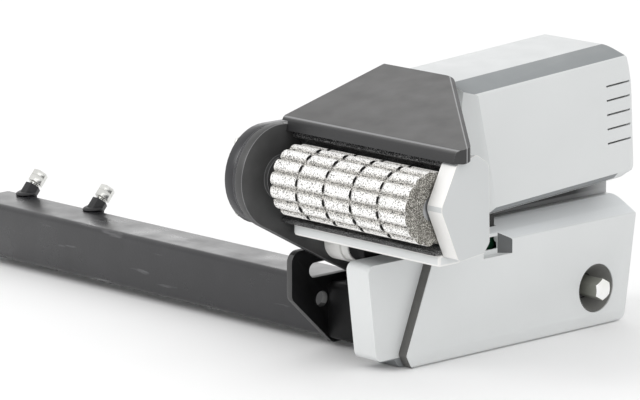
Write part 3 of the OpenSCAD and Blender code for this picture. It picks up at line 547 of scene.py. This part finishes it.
class Finishes:
    """The finishes of this unit."""

    TUBE = TubeCoat("tube_coat", (0.012, 0.012, 0.014), 0.30, dust=(0.03, 0.03, 0.034), gloss=0.62)
    BLACK = PowderCoat("bracket_coat", (0.007, 0.007, 0.0075), 0.44,
                       dust=(0.014, 0.014, 0.014), gloss=0.2)
    CASE = PowderCoat("case_coat", (0.020, 0.020, 0.023), 0.30,
                      dust=(0.035, 0.035, 0.037), peel_depth=0.0001)
    ARM = PowderCoat("arm_coat", (0.052, 0.052, 0.052), 0.42,
                     dust=(0.085, 0.085, 0.085), gloss=0.42)
    # Rubbed paint on the black parts' rounded edges, made lighter still as a painted highlight.
    EDGE = PowderCoat("rubbed_and_highlit_black_edge", (0.17, 0.17, 0.175), 0.26, dust=(0.30, 0.30, 0.31))
    YOKE = SpeckledCoat("channel_coat", (0.006, 0.006, 0.007), 0.6, dust=(0.02, 0.02, 0.02),
                        gloss=0.2, speck=(0.34, 0.34, 0.34), speck_from=0.50)
    ZINC = BareMetal("zinc_plate", (0.80, 0.80, 0.77), 0.22)
    # Sandy grit on the roller's end face, darkened as painted shade from the end cap.
    SHADED_SAND = SpeckledCoat("roller_end_shaded", (0.10, 0.094, 0.082), 0.85, dust=(0.22, 0.21, 0.19),
                        gloss=0.1, speck=(0.80, 0.78, 0.72), speck_from=0.50)
    GEAR = BareMetal("gear_steel", (0.42, 0.43, 0.45), 0.34, lay=Lay.TURNED)
    MOTOR = PowderCoat("motor_coat", (0.020, 0.020, 0.021), 0.34)
    WIRE = WoundWire("armature_wire", (0.62, 0.30, 0.16), 0.35)
    HOOD = MouldedPlastic("hood_black", (0.051, 0.050, 0.049), 0.42, 900.0, 0.00016, 0.06, 0.72)
    # Painted shade: a darker copy of the hood's black for its front and side faces, the walls under it and its
    # rim.
    HOOD_SHADE = MouldedPlastic("hood_lip", (0.026, 0.026, 0.027), 0.36, 900.0, 0.00016, 0.06, 0.5)
    # Painted highlight: lighter grey on the roller cover's rounded edges, along its front edge and inside its rim.
    HOOD_HIGHLIGHT = MouldedPlastic("hood_highlight", (0.24, 0.24, 0.245), 0.34, 900.0, 0.00012, 0.1, 0.7)
    COVER = MouldedPlastic("cover_grey", (0.690, 0.705, 0.705), 0.42)
    # Painted highlight: lighter grey on the grey covers' rounded edges and the end cap's lit side faces.
    COVER_HIGHLIGHT = MouldedPlastic("cover_highlight", (0.82, 0.815, 0.80), 0.40)
    BAND_DARK = MouldedPlastic("chamfer_grey", (0.262, 0.279, 0.286), 0.44)
    # Painted light: paler than the cover's own grey, lifting the lower chamfers out of the motor cover's shade.
    BAND_MID = MouldedPlastic("chamfer_pale", (0.740, 0.765, 0.775), 0.44)
    SHADE = MouldedPlastic("shaded_grey", (0.240, 0.252, 0.258), 0.5)
    # Painted shade on the slanted wall of the side panel's pocket.
    POCKET_SHADE = MouldedPlastic("pocket_shade", (0.115, 0.120, 0.122), 0.55, swing=0.2)
    CAP = MouldedPlastic("cap_grey", (0.585, 0.600, 0.602), 0.40)
    TIE = MouldedPlastic("tie_cast", (0.920, 0.915, 0.890), 0.34, 500.0, 0.0003)
    # Pale beige on the end cap's rounded edges: painted highlight.
    CAP_EDGE = PowderCoat("cap_edge", (0.80, 0.78, 0.74), 0.42, dust=(0.66, 0.62, 0.56))
    # Dark grey trim, darkened further as painted shade of the step between cover and panel.
    TRIM = MouldedPlastic("trim_dark", (0.145, 0.144, 0.138), 0.6, 700.0, 0.0003, 0.2, 0.2)
    NYLON = MouldedPlastic("bush_nylon", (0.72, 0.69, 0.58), 0.3)
    BRASS = BareMetal("bush_brass", (0.72, 0.52, 0.26), 0.28, lay=Lay.TURNED)
    SLEEVE = MouldedPlastic("sleeve_grey", (0.20, 0.20, 0.19), 0.5, swing=0.3)
    # Painted shade on the hex shaft's sides; its end face takes a painted highlight.
    HEX = PowderCoat("hex_side", (0.21, 0.215, 0.19), 0.38, dust=(0.32, 0.32, 0.28))
    HEX_FACE = PowderCoat("hex_face", (0.86, 0.87, 0.83), 0.5, dust=(0.74, 0.74, 0.70))
    # Painted shadow: the flag's and the pads' upper parts are black where they sit under the motor tray and cover.
    FLAG = ShadowTopped("flag_green", (0.006, 0.050, 0.022), 0.5)
    PAD = ShadowTopped("pad_grey", (0.120, 0.122, 0.123), 0.5, upwards=(0.0, -0.0125, 1.0),
                      black_from=0.1109, far=(0.46, 0.47, 0.475))
    WELD = PowderCoat("weld_coat", (0.006, 0.006, 0.007), 0.45, dust=(0.015, 0.015, 0.015),
                      peel=260.0, peel_depth=0.0009)


def new_object(name: str, mesh: bmesh.types.BMesh, *finishes: Finish) -> bpy.types.Object:
    """Makes an object from a bmesh, shaded smooth between its sharp edges.

    Args:
        name: Name of the piece.
        mesh: Finished bmesh, which is freed.
        finishes: Finishes in the order of the faces' material numbers.

    Returns:
        The linked object.
    """
    for edge in mesh.edges:
        edge.smooth = not edge.is_manifold or edge.calc_face_angle(0.0) < SMOOTH_ANGLE
    for face in mesh.faces:
        face.smooth = True
    data = bpy.data.meshes.new(name)
    mesh.to_mesh(data)
    mesh.free()
    for finish in finishes:
        data.materials.append(finish.material())
    piece = bpy.data.objects.new(name, data)
    bpy.context.scene.collection.objects.link(piece)
    return piece


def fit(piece: bpy.types.Object, like: str) -> None:
    """Lets a new piece ride with a CAD node's body."""
    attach(piece, BODY_OF[like])


@dataclass(frozen=True)
class Band:
    """Faces that point in one direction and have a finish of their own."""

    finish: Finish
    towards: Xyz
    spread: float = 6.0

    def holds(self, face: bmesh.types.BMFace) -> bool:
        """Tells whether a face belongs to the band."""
        return face.normal.angle(Vector(self.towards), math.pi) < math.radians(self.spread)


@dataclass
class Skin:
    """A CAD node with its finish, the rounding of its edges and the bands on its faces. The rounded faces can take
    a lighter finish as painted highlight, and some bands are painted light and shade.
    """

    node: str
    finish: Finish
    edge: float = 0.0
    edge_wear_and_highlight: Finish | None = None
    bands: tuple[Band, ...] = ()
    bend: float = 38.0

    def paint(self) -> None:
        """Gives the CAD node its finish and leaves its shape alone."""
        data = frame["nodes"][self.node].data
        data.materials.clear()
        data.materials.append(self.finish.material())

    def soften(self) -> None:
        """Puts a copy with rounded edges in the node's place, with a painted highlight on the rounded faces where
        the skin has one.
        """
        mesh = bmesh.new()
        mesh.from_mesh(frame["nodes"][self.node].data)
        bmesh.ops.remove_doubles(mesh, verts=mesh.verts, dist=MERGE_DIST)
        bmesh.ops.dissolve_limit(mesh, angle_limit=FLAT_ANGLE, verts=mesh.verts, edges=mesh.edges)
        bend = math.radians(self.bend)
        sharp = [e for e in mesh.edges if e.is_manifold and e.calc_face_angle(0.0) > bend]
        rounded = bmesh.ops.bevel(mesh, geom=sharp, offset=self.edge * MM, offset_type="OFFSET",
                                  affect="EDGES", segments=2, profile=0.5, material=-1,
                                  clamp_overlap=True)["faces"]
        bmesh.ops.dissolve_degenerate(mesh, edges=mesh.edges, dist=MERGE_DIST)
        finishes = [self.finish, *(band.finish for band in self.bands)]
        mesh.normal_update()
        for face in mesh.faces:
            held = (number for number, band in enumerate(self.bands, 1) if band.holds(face))
            face.material_index = next(held, 0)
        # Painted highlight: the rounded faces take the lighter edge finish, with rubbed paint on the black parts.
        if self.edge_wear_and_highlight:
            finishes.append(self.edge_wear_and_highlight)
            for face in rounded:
                if face.is_valid:
                    face.material_index = len(finishes) - 1
        piece = new_object(self.node + "_skin", mesh, *finishes)
        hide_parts(self.node)
        fit(piece, self.node)

    def dress(self) -> None:
        """Paints the node and rounds its edges where it has a rounding."""
        self.paint()
        if self.edge > 0:
            self.soften()
        LOG.info("dressed %s", self.node)


def repaint(node: str, finish: Finish, at: Vector, beyond: Vector,
            band: Band | None = None) -> None:
    """Cuts a node's skin along a plane and gives faces beyond the plane another finish.

    Args:
        node: CAD node that the skin stands for.
        finish: Finish of the faces beyond the plane.
        at: Point on the plane.
        beyond: Direction that the plane faces.
        band: Band that the painted faces have to belong to, or None for every face.
    """
    data = bpy.data.objects[node + "_skin"].data
    mesh = bmesh.new()
    mesh.from_mesh(data)
    mesh.normal_update()
    faces = [face for face in mesh.faces if band is None or band.holds(face)]
    edges = dict.fromkeys(edge for face in faces for edge in face.edges)
    verts = dict.fromkeys(vert for face in faces for vert in face.verts)
    bmesh.ops.bisect_plane(mesh, geom=[*verts, *edges, *faces], plane_co=at, plane_no=beyond)
    mesh.normal_update()
    for face in mesh.faces:
        past = (face.calc_center_median() - at).dot(beyond) > 0
        if past and (band is None or band.holds(face)):
            face.material_index = len(data.materials)
    mesh.to_mesh(data)
    mesh.free()
    data.materials.append(finish.material())


class Assembly(ABC):
    """A sub-assembly of the unit and the skins of its CAD nodes."""

    skins: list[Skin]

    @abstractmethod
    def build(self) -> None:
        """Dresses the sub-assembly and adds its own pieces."""

    def dress(self) -> None:
        """Dresses each CAD node of the sub-assembly."""
        for skin in self.skins:
            skin.dress()


@dataclass
class TubeFrame(Assembly):
    """Cross tube, its clamp bolts and the bracket plates. Sizes are in millimetres."""

    bolt_inset: float = 24.0
    bolt_pitch: float = 94.0
    bolt_lean: float = 42.0
    thread_r: float = 4.0
    thread_pitch: float = 1.25
    thread_from: float = 9.5
    thread_turns: int = 2
    thread_steps: int = 24
    thread_share: float = 0.4
    bead_r: float = 8.2
    bead_size: float = 2.1
    bead_flat: float = 2.4
    bead_drop: float = 0.93
    bead_sides: int = 10
    bead_steps: int = 40
    skins: list[Skin] = field(default_factory=lambda: [
        Skin("cross_tube", Finishes.TUBE, 0.5),
        Skin("weld_nuts", Finishes.WELD, 0.8),
        Skin("clamp_bolts", Finishes.ZINC, 0.5),
        Skin("clamp_lock_nuts", Finishes.ZINC, 0.6),
        Skin("inner_bracket", Finishes.BLACK, 0.8, Finishes.EDGE,
             # Rubbed paint and painted light: the bracket's front-facing faces take the arm's lighter black.
             (Band(Finishes.ARM, (0.0, -1.0, 0.0), 50.0),)),
        Skin("outer_bracket", Finishes.BLACK, 0.8),
        Skin("cover_bolts", Finishes.ZINC, 0.4),
    ])

    def bolt_frame(self, number: int) -> Matrix:
        """Gives the place of a clamp bolt, with Z along the bolt.

        Args:
            number: Number of the bolt, from 0.

        Returns:
            The matrix from the bolt to the part.
        """
        low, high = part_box("cross_tube")
        along = low[0] + (self.bolt_inset + self.bolt_pitch * number) * MM
        at = Vector((along, high[1], high[2]))
        return Matrix.Translation(at) @ Matrix.Rotation(math.radians(-self.bolt_lean), 4, "X")

    def thread(self, number: int) -> None:
        """Winds the thread that shows between the weld nut and the lock nut.

        Args:
            number: Number of the bolt, from 0.
        """
        mesh = bmesh.new()
        radius = self.thread_pitch * self.thread_share * MM
        profile = bmesh.ops.create_circle(mesh, segments=3, radius=radius)["verts"]
        bmesh.ops.rotate(mesh, verts=profile, matrix=Matrix.Rotation(math.pi / 2, 3, "X"))
        start = (self.thread_r * MM, 0.0, self.thread_from * MM)
        bmesh.ops.translate(mesh, verts=profile, vec=start)
        bmesh.ops.spin(mesh, geom=mesh.edges[:], axis=(0.0, 0.0, 1.0), cent=(0.0, 0.0, 0.0),
                       steps=self.thread_steps * self.thread_turns,
                       angle=math.tau * self.thread_turns,
                       dvec=(0.0, 0.0, self.thread_pitch * MM / self.thread_steps))
        bmesh.ops.holes_fill(mesh, edges=mesh.edges, sides=3)
        bmesh.ops.recalc_face_normals(mesh, faces=mesh.faces)
        bmesh.ops.transform(mesh, matrix=self.bolt_frame(number), verts=mesh.verts)
        fit(new_object(f"clamp_thread_{number + 1}", mesh, Finishes.ZINC), "clamp_bolts")

    def bead(self, number: int) -> None:
        """Lays the weld bead round a weld nut, bent down over the tube's corner.

        Args:
            number: Number of the nut, from 0.
        """
        mesh = bmesh.new()
        ring = bmesh.ops.create_circle(mesh, segments=self.bead_sides,
                                       radius=self.bead_size * MM)["verts"]
        bmesh.ops.rotate(mesh, verts=ring, matrix=Matrix.Rotation(math.pi / 2, 3, "X"))
        bmesh.ops.translate(mesh, verts=ring, vec=(self.bead_r * MM, 0.0, 0.0))
        bmesh.ops.spin(mesh, geom=mesh.edges[:], axis=(0.0, 0.0, 1.0), cent=(0.0, 0.0, 0.0),
                       steps=self.bead_steps, angle=math.tau, use_merge=True)
        bmesh.ops.remove_doubles(mesh, verts=mesh.verts, dist=MERGE_DIST)
        for vert in mesh.verts:
            vert.co.z -= max(0.0, abs(vert.co.y) - self.bead_flat * MM) * self.bead_drop
        bmesh.ops.recalc_face_normals(mesh, faces=mesh.faces)
        bmesh.ops.transform(mesh, matrix=self.bolt_frame(number), verts=mesh.verts)
        fit(new_object(f"weld_bead_{number + 1}", mesh, Finishes.WELD), "weld_nuts")

    def black_end(self) -> None:
        """Makes the tube black beyond the inner bracket plate, with the brackets' finish."""
        plate = Vector(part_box("inner_bracket")[1])
        repaint("cross_tube", Finishes.BLACK, plate, Vector((1.0, 0.0, 0.0)))

    def build(self) -> None:
        """Dresses the tube frame, blackens the tube's end and adds threads and welds."""
        self.dress()
        self.black_end()
        for number in (0, 1):
            self.thread(number)
            self.bead(number)


@dataclass
class DriveHead(Assembly):
    """Gear case, roller and the covers round the roller. Sizes are in millimetres.

    Each of the screws has its axle, the reach of the case there and its angle in degrees.
    """

    rib_count: int = 15
    sections: int = 5
    ring_groove: float = 4.0
    ring_depth: float = 2.8
    floor_play: float = 0.2
    floor_slope: float = 0.1
    groove_spread: float = 55.0
    end_depth: float = 1.0
    end_slope: float = 0.9
    screws: tuple[tuple[str, float, float], ...] = (
        ("roller", 43.0, 130.0), ("roller", 43.0, 230.0), ("idler_1", 43.0, 82.0),
        ("idler_1", 43.0, 278.0), ("idler_3", 36.0, 80.0), ("idler_3", 36.0, 285.0),
        ("rotor", 24.0, 0.0))
    screw_inset: float = 5.0
    screw_round: float = 0.35
    screw_bend: float = 0.8
    washer_r: float = 5.2
    washer_h: float = 1.0
    washer_sides: int = 28
    head_r: float = 4.3
    head_h: float = 3.2
    head_sides: int = 6
    hood_rise: float = 14.1
    hood_skin: float = 3.2
    wall_t: float = 2.0
    wall_drop: float = 47.0
    wall_inset: float = 1.5
    wall_gap: float = 0.5
    side_wall_len: float = 84.0
    back_wall_len: float = 61.0
    rim_corner: float = 12.9
    rim_slant: Xyz = (0.646, 0.763, 0.0)
    rim_highlight: float = 3.6
    rim_shade: float = 2.6
    skins: list[Skin] = field(default_factory=lambda: [
        Skin("gear_case", Finishes.CASE, 1.4, Finishes.EDGE),
        Skin("gear_case_cover", Finishes.ARM, 0.9, Finishes.EDGE),
        Skin("roller_shaft", Finishes.GEAR, 0.5),
        Skin("roller_gear", Finishes.GEAR),
        Skin("roller_bearings", Finishes.GEAR),
        Skin("idler_gear_1", Finishes.GEAR),
        Skin("idler_gear_2", Finishes.GEAR),
        Skin("idler_gear_3", Finishes.GEAR),
        Skin("idler_axles", Finishes.GEAR),
        Skin("roller_cover", Finishes.HOOD, 0.8, Finishes.HOOD_HIGHLIGHT,
             # Painted highlight along the cover's rounded front edge.
             (Band(Finishes.HOOD_HIGHLIGHT, (0.0, -0.62, 0.785), 12.0),
              # Painted shade on the cover's front and side faces.
              Band(Finishes.HOOD_SHADE, (0.0, -0.98, 0.18), 24.0),
              Band(Finishes.HOOD_SHADE, (0.707, -0.700, 0.1), 34.0),
              Band(Finishes.HOOD_SHADE, (1.0, 0.0, 0.0), 15.0))),
        Skin("corner_fairing", Finishes.COVER, 0.6),
        Skin("end_cap", Finishes.CAP, 0.9, Finishes.CAP_EDGE,
             # Painted light: the cap's front-facing side faces take the lighter grey.
             (Band(Finishes.COVER_HIGHLIGHT, (0.0, -0.89, 0.455), 14.0),
              Band(Finishes.COVER_HIGHLIGHT, (0.0, -0.909, -0.417), 14.0))),
        Skin("yoke_channel", Finishes.YOKE, 0.6),
        Skin("lower_lip", Finishes.COVER, 2.0, Finishes.COVER_HIGHLIGHT),
    ])

    def roller(self) -> None:
        """Dresses the roller: crests painted pale as highlight, ring grooves painted dark as shade, and a sandy
        end painted dark as shade.
        """
        low, high = (Vector(corner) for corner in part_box("roller"))
        middle = (low + high) / 2
        axis = (middle.y, middle.z)
        grit = GritCoat("roller_grit", (0.97, 0.96, 0.94), 0.62, axis=axis, ribs=self.rib_count)
        # Painted shade in the ring grooves: dark where they cut the crests, pale grit in the valleys.
        groove = GritCoat("roller_groove_shade", (0.010, 0.010, 0.010), 0.8, (0.66, 0.64, 0.60), axis,
                          self.rib_count, (0.44, 0.54))
        dark = (Band(groove, (-1.0, 0.0, 0.0), self.groove_spread),
                Band(groove, (1.0, 0.0, 0.0), self.groove_spread))
        Skin("roller", grit, 0.4, bands=dark).dress()
        piece = bpy.data.objects["roller_skin"].data
        piece.materials.append(Finishes.SHADED_SAND.material())
        groove_shade_slot, shaded_sand_slot = 1, len(piece.materials) - 1
        floor_r = (high.z - low.z) / 2 - (self.ring_depth - self.floor_play) * MM
        for face in piece.polygons:
            off = math.hypot(face.center.y - axis[0], face.center.z - axis[1])
            deep = off < floor_r and abs(face.normal.x) < self.floor_slope
            # Painted shade: the end face takes the darkened sandy finish.
            if face.normal.x > self.end_slope and face.center.x > high.x - self.end_depth * MM:
                face.material_index = shaded_sand_slot
            elif deep and self.on_ring(face.center.x - low.x, high.x - low.x):
                face.material_index = groove_shade_slot

    def on_ring(self, along: float, length: float) -> bool:
        """Tells whether a place along the roller lies in a ring groove.

        Args:
            along: Distance from the roller's inboard end.
            length: Length of the roller.

        Returns:
            True in a ring groove.
        """
        pitch = length / self.sections
        return abs(along - round(along / pitch) * pitch) < self.ring_groove / 2 * MM

    def case_screws(self) -> None:
        """Adds hex screws round the outer face of the gear case."""
        face_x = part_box("gear_case")[0][0]
        axles = {j["child"]: Vector(j["pos_m"]) for j in frame["joints"] if j["type"] == "hinge"}
        for number, (axle, reach, degrees) in enumerate(self.screws):
            arm = (reach - self.screw_inset) * MM
            turn = math.radians(degrees)
            at = Vector((face_x, axles[axle].y + arm * math.cos(turn),
                         axles[axle].z + arm * math.sin(turn)))
            self.screw(f"case_screw_{number + 1}", at)

    def screw(self, name: str, at: Vector) -> None:
        """Makes one flanged hex screw that stands out along -X.

        Args:
            name: Name of the piece.
            at: Middle of its seat.
        """
        mesh = bmesh.new()
        top = self.washer_h + self.head_h
        for sides, r, low, high in ((self.washer_sides, self.washer_r, 0.0, self.washer_h),
                                    (self.head_sides, self.head_r, self.washer_h, top)):
            made = bmesh.ops.create_cone(mesh, cap_ends=True, segments=sides, radius1=r * MM,
                                         radius2=r * MM, depth=(high - low) * MM)["verts"]
            bmesh.ops.translate(mesh, verts=made, vec=(0.0, 0.0, (low + high) / 2 * MM))
        rims = [e for e in mesh.edges if e.calc_face_angle(0.0) > self.screw_bend]
        bmesh.ops.bevel(mesh, geom=rims, offset=self.screw_round * MM, affect="EDGES", segments=2,
                        profile=0.5, material=-1)
        seat = Matrix.Translation(at) @ Matrix.Rotation(-math.pi / 2, 4, "Y")
        bmesh.ops.transform(mesh, matrix=seat, verts=mesh.verts)
        fit(new_object(name, mesh, Finishes.ZINC), "gear_case")

    def hood_walls(self) -> None:
        """Closes the space under the roller cover towards the gear case and the motor."""
        top = Vector(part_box("roller_cover")[1])
        side_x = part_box("gear_case_cover")[1][0] + self.wall_gap * MM
        back_y = top.y - self.wall_inset * MM
        walls = {"hood_side_wall": (self.wall_t, self.side_wall_len),
                 "hood_back_wall": (self.back_wall_len, self.wall_t)}
        for name, (width, depth) in walls.items():
            corner = Vector((side_x, back_y - depth * MM, top.z))
            self.hood_wall(name, corner, Vector((width, depth, self.wall_drop)) * MM)

    def hood_wall(self, name: str, corner: Vector, size: Vector) -> None:
        """Makes an upright wall and trims it to the slope of the roller cover's underside.

        Args:
            name: Name of the piece.
            corner: Its lowest X and Y, and the height that it hangs from.
            size: Width, depth and height before the trim.
        """
        mesh = bmesh.new()
        bmesh.ops.create_cube(mesh, size=1.0)
        bmesh.ops.scale(mesh, verts=mesh.verts, vec=size)
        middle = corner + Vector((size.x, size.y, -size.z)) / 2
        bmesh.ops.translate(mesh, verts=mesh.verts, vec=middle)
        rise = math.radians(self.hood_rise)
        under = Vector(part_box("roller_cover")[1]) - Vector((0.0, 0.0, self.hood_skin * MM))
        whole = mesh.verts[:] + mesh.edges[:] + mesh.faces[:]
        slope = (0.0, -math.sin(rise), math.cos(rise))
        cut = bmesh.ops.bisect_plane(mesh, geom=whole, plane_co=under, plane_no=slope,
                                     clear_outer=True)["geom_cut"]
        bmesh.ops.edgenet_fill(mesh, edges=[e for e in cut if isinstance(e, bmesh.types.BMEdge)])
        bmesh.ops.recalc_face_normals(mesh, faces=mesh.faces)
        # The walls take the hood's darker copy: painted shade under the cover.
        fit(new_object(name, mesh, Finishes.HOOD_SHADE), "roller_cover")

    def paint_hood_rim_shading(self) -> None:
        """Paints a dark rim along the roller cover's slanted edge as painted shade, with a painted highlight line
        inside it.
        """
        low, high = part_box("roller_cover")
        corner = Vector((high[0], low[1] + self.rim_corner * MM, high[2]))
        slant = Vector(self.rim_slant)
        for finish, inset in ((Finishes.HOOD_HIGHLIGHT, self.rim_highlight),
                              (Finishes.HOOD_SHADE, self.rim_shade)):
            repaint("roller_cover", finish, corner - slant * inset * MM, slant)

    def build(self) -> None:
        """Dresses the drive head, adds its screws and hood walls and paints the shade and highlight of the hood's
        rim.
        """
        self.dress()
        self.roller()
        self.case_screws()
        self.hood_walls()
        self.paint_hood_rim_shading()


@dataclass
class MotorBox(Assembly):
    """Motor, its tray and the moulded motor cover. Sizes are in millimetres."""

    shade_end: float = 28.0
    shade: Band = Band(Finishes.SHADE, (0.706, 0.04, -0.706))
    skins: list[Skin] = field(default_factory=lambda: [
        Skin("motor_can", Finishes.MOTOR),
        Skin("motor_end_bell", Finishes.MOTOR),
        Skin("motor_armature", Finishes.WIRE),
        Skin("motor_shaft", Finishes.GEAR),
        Skin("motor_tray", Finishes.BLACK, 0.6),
        Skin("motor_cover", Finishes.COVER, 0.7, Finishes.COVER_HIGHLIGHT,
             (Band(Finishes.BAND_DARK, (0.351, -0.052, 0.935)),
              # Painted shade: the cover's top faces take the end cap's darker grey.
              Band(Finishes.CAP, (0.0, -0.06, 1.0), 5.0), MotorBox.shade)),
        Skin("tie_bush", Finishes.TIE, 0.8),
        Skin("tie_tube", Finishes.BLACK, 0.6),
        Skin("outer_arm", Finishes.BLACK, 0.6),
        Skin("guide_pins", Finishes.ZINC, 0.5),
        Skin("guide_bushes", Finishes.NYLON, 0.3),
        Skin("rack_tail", Finishes.GEAR),
        Skin("slide_pads", Finishes.PAD, 0.5),
        Skin("position_flag", Finishes.FLAG, 0.4),
    ])

    def build(self) -> None:
        """Dresses the motor box and ends the shaded chamfer of its cover before the back corner."""
        self.dress()
        back = Vector(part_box("motor_cover")[1]) - Vector((0.0, self.shade_end * MM, 0.0))
        repaint("motor_cover", Finishes.COVER, back, Vector((0.0, 1.0, 0.0)), self.shade)


@dataclass
class LowerHousing(Assembly):
    """Lower cover, its side panel and the engagement drive. Sizes are in millimetres."""

    sleeve_mouth_r: float = 21.2
    sleeve_throat_r: float = 12.0
    sleeve_depth: float = 15.5
    sleeve_wall: float = 0.8
    sleeve_inset: float = 1.0
    sleeve_sides: int = 56
    foot_h: float = 8.5
    foot: Band = Band(Finishes.SHADE, (0.8, 0.0, -0.6), 70.0)
    skins: list[Skin] = field(default_factory=lambda: [
        Skin("lower_cover", Finishes.COVER, 0.8, Finishes.COVER_HIGHLIGHT,
             # Painted light on the chamfer, which sits in the motor cover's shade.
             (Band(Finishes.BAND_MID, (0.507, 0.0, 0.861)),)),
        Skin("lower_side_panel", Finishes.COVER, 0.8, Finishes.COVER_HIGHLIGHT,
             (Band(Finishes.BAND_MID, (0.507, 0.0, 0.861)),
              # Painted shade on the pocket's slanted wall.
              Band(Finishes.POCKET_SHADE, (0.707, -0.707, 0.0)))),
        Skin("panel_trim", Finishes.TRIM, 0.3),
        # Painted shade on the hex's sides and a painted highlight on its end face.
        Skin("engage_shaft", Finishes.HEX, 1.2,
             bands=(Band(Finishes.HEX_FACE, (1.0, 0.0, 0.0), 40.0),)),
        Skin("engage_pinion", Finishes.GEAR),
        Skin("engage_gearbox", Finishes.MOTOR, 0.8),
        Skin("engage_motor", Finishes.MOTOR, 0.8),
        Skin("engage_bush", Finishes.BRASS),
    ])

    def sleeve(self) -> None:
        """Lines the hex access hole with a dark funnel that narrows round the hex."""
        mouth_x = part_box("lower_side_panel")[1][0] - self.sleeve_inset * MM
        axle = next(Vector(j["pos_m"]) for j in frame["joints"] if j["child"] == "engage_drive")
        mesh = bmesh.new()
        bmesh.ops.create_cone(mesh, cap_ends=False, segments=self.sleeve_sides,
                              radius1=self.sleeve_throat_r * MM, radius2=self.sleeve_mouth_r * MM,
                              depth=self.sleeve_depth * MM)
        bmesh.ops.recalc_face_normals(mesh, faces=mesh.faces)
        bmesh.ops.solidify(mesh, geom=mesh.faces[:], thickness=self.sleeve_wall * MM)
        bmesh.ops.recalc_face_normals(mesh, faces=mesh.faces)
        at = Vector((mouth_x - self.sleeve_depth / 2 * MM, axle.y, axle.z))
        turn = Matrix.Translation(at) @ Matrix.Rotation(math.pi / 2, 4, "Y")
        bmesh.ops.transform(mesh, matrix=turn, verts=mesh.verts)
        fit(new_object("access_sleeve", mesh, Finishes.SLEEVE), "lower_side_panel")

    def build(self) -> None:
        """Dresses the lower housing, shades its foot and lines its access hole."""
        self.dress()
        foot_top = Vector(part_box("lower_cover")[0]) + Vector((0.0, 0.0, self.foot_h * MM))
        repaint("lower_cover", self.foot.finish, foot_top, Vector((0.0, 0.0, -1.0)), self.foot)
        self.sleeve()


@dataclass(frozen=True)
class Lamp:
    """A square area light that faces the part. Lengths are in metres."""

    name: str
    at: Xyz
    size: float
    watts: float
    target: Xyz = (0.1, 0.0, 0.1)

    def build(self) -> None:
        """Adds the light to the scene."""
        data = bpy.data.lights.new(self.name, "AREA")
        data.size = self.size
        data.energy = self.watts
        lamp = bpy.data.objects.new(self.name, data)
        bpy.context.scene.collection.objects.link(lamp)
        lamp.location = self.at
        aim = Vector(self.target) - Vector(self.at)
        lamp.rotation_euler = aim.to_track_quat("-Z", "Y").to_euler()


@dataclass
class Studio:
    """Pale floor, soft lights and the camera at the photograph's angle.

    The camera's place is measured from the tube's open end, front face and top. Its lens and sensor
    are in millimetres, and other lengths are in metres.
    """

    camera_from_tube: Xyz = (3.51314, -2.90020, 0.95894)
    right: Vector = field(default_factory=lambda: Vector((0.68962, 0.72417, 0.0)))
    up: Vector = field(default_factory=lambda: Vector((-0.14982, 0.14267, 0.97836)))
    lens: float = 283.5
    sensor: float = 36.0
    sight: float = 40.0
    floor_half: float = 6.0
    floor_drop: float = 0.0006
    surround: float = 0.95
    lamps: tuple[Lamp, ...] = (
        Lamp("key", (-0.7, -2.3, 1.9), 1.4, 26.0),
        Lamp("side", (2.6, -0.9, 1.0), 1.5, 6.0),
        Lamp("back", (-2.3, 2.2, 0.95), 1.6, 6.5))

    def camera(self) -> None:
        """Adds the camera and makes it the scene's camera."""
        data = bpy.data.cameras.new("camera")
        data.sensor_fit = "HORIZONTAL"
        data.sensor_width = self.sensor
        data.lens = self.lens
        data.clip_end = self.sight
        camera = bpy.data.objects.new("camera", data)
        bpy.context.scene.collection.objects.link(camera)
        low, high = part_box("cross_tube")
        at = Vector((low[0], low[1], high[2])) + Vector(self.camera_from_tube)
        back = self.right.cross(self.up)
        turn = Matrix((self.right, self.up, back)).transposed().to_4x4()
        camera.matrix_world = Matrix.Translation(at) @ turn
        bpy.context.scene.camera = camera

    def floor(self) -> None:
        """Adds the pale floor."""
        mesh = bmesh.new()
        bmesh.ops.create_grid(mesh, x_segments=2, y_segments=2, size=self.floor_half)
        bmesh.ops.translate(mesh, verts=mesh.verts, vec=(0.0, 0.0, -self.floor_drop))
        white = MouldedPlastic("floor_white", (0.93, 0.93, 0.93), 0.8, swing=0.01)
        piece = new_object("floor", mesh, white)

    def world(self) -> None:
        """Adds an even white surround."""
        world = bpy.data.worlds.new("surround")
        world.use_nodes = True
        background = world.node_tree.nodes["Background"]
        background.inputs["Color"].default_value = (1.0, 1.0, 1.0, 1.0)
        background.inputs["Strength"].default_value = self.surround
        bpy.context.scene.world = world
        bpy.context.scene.view_settings.view_transform = "Standard"

    def build(self) -> None:
        """Sets up the studio."""
        self.camera()
        self.floor()
        self.world()
        for lamp in self.lamps:
            lamp.build()


def main() -> None:
    """Builds every sub-assembly in order."""
    logging.basicConfig(level=logging.INFO, format="%(name)s: %(message)s")
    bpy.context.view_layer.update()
    for assembly in (Studio(), TubeFrame(), DriveHead(), MotorBox(), LowerHousing()):
        assembly.build()
        LOG.info("built %s", type(assembly).__name__)
    bpy.context.view_layer.update()


if __name__ == "__main__":
    main()
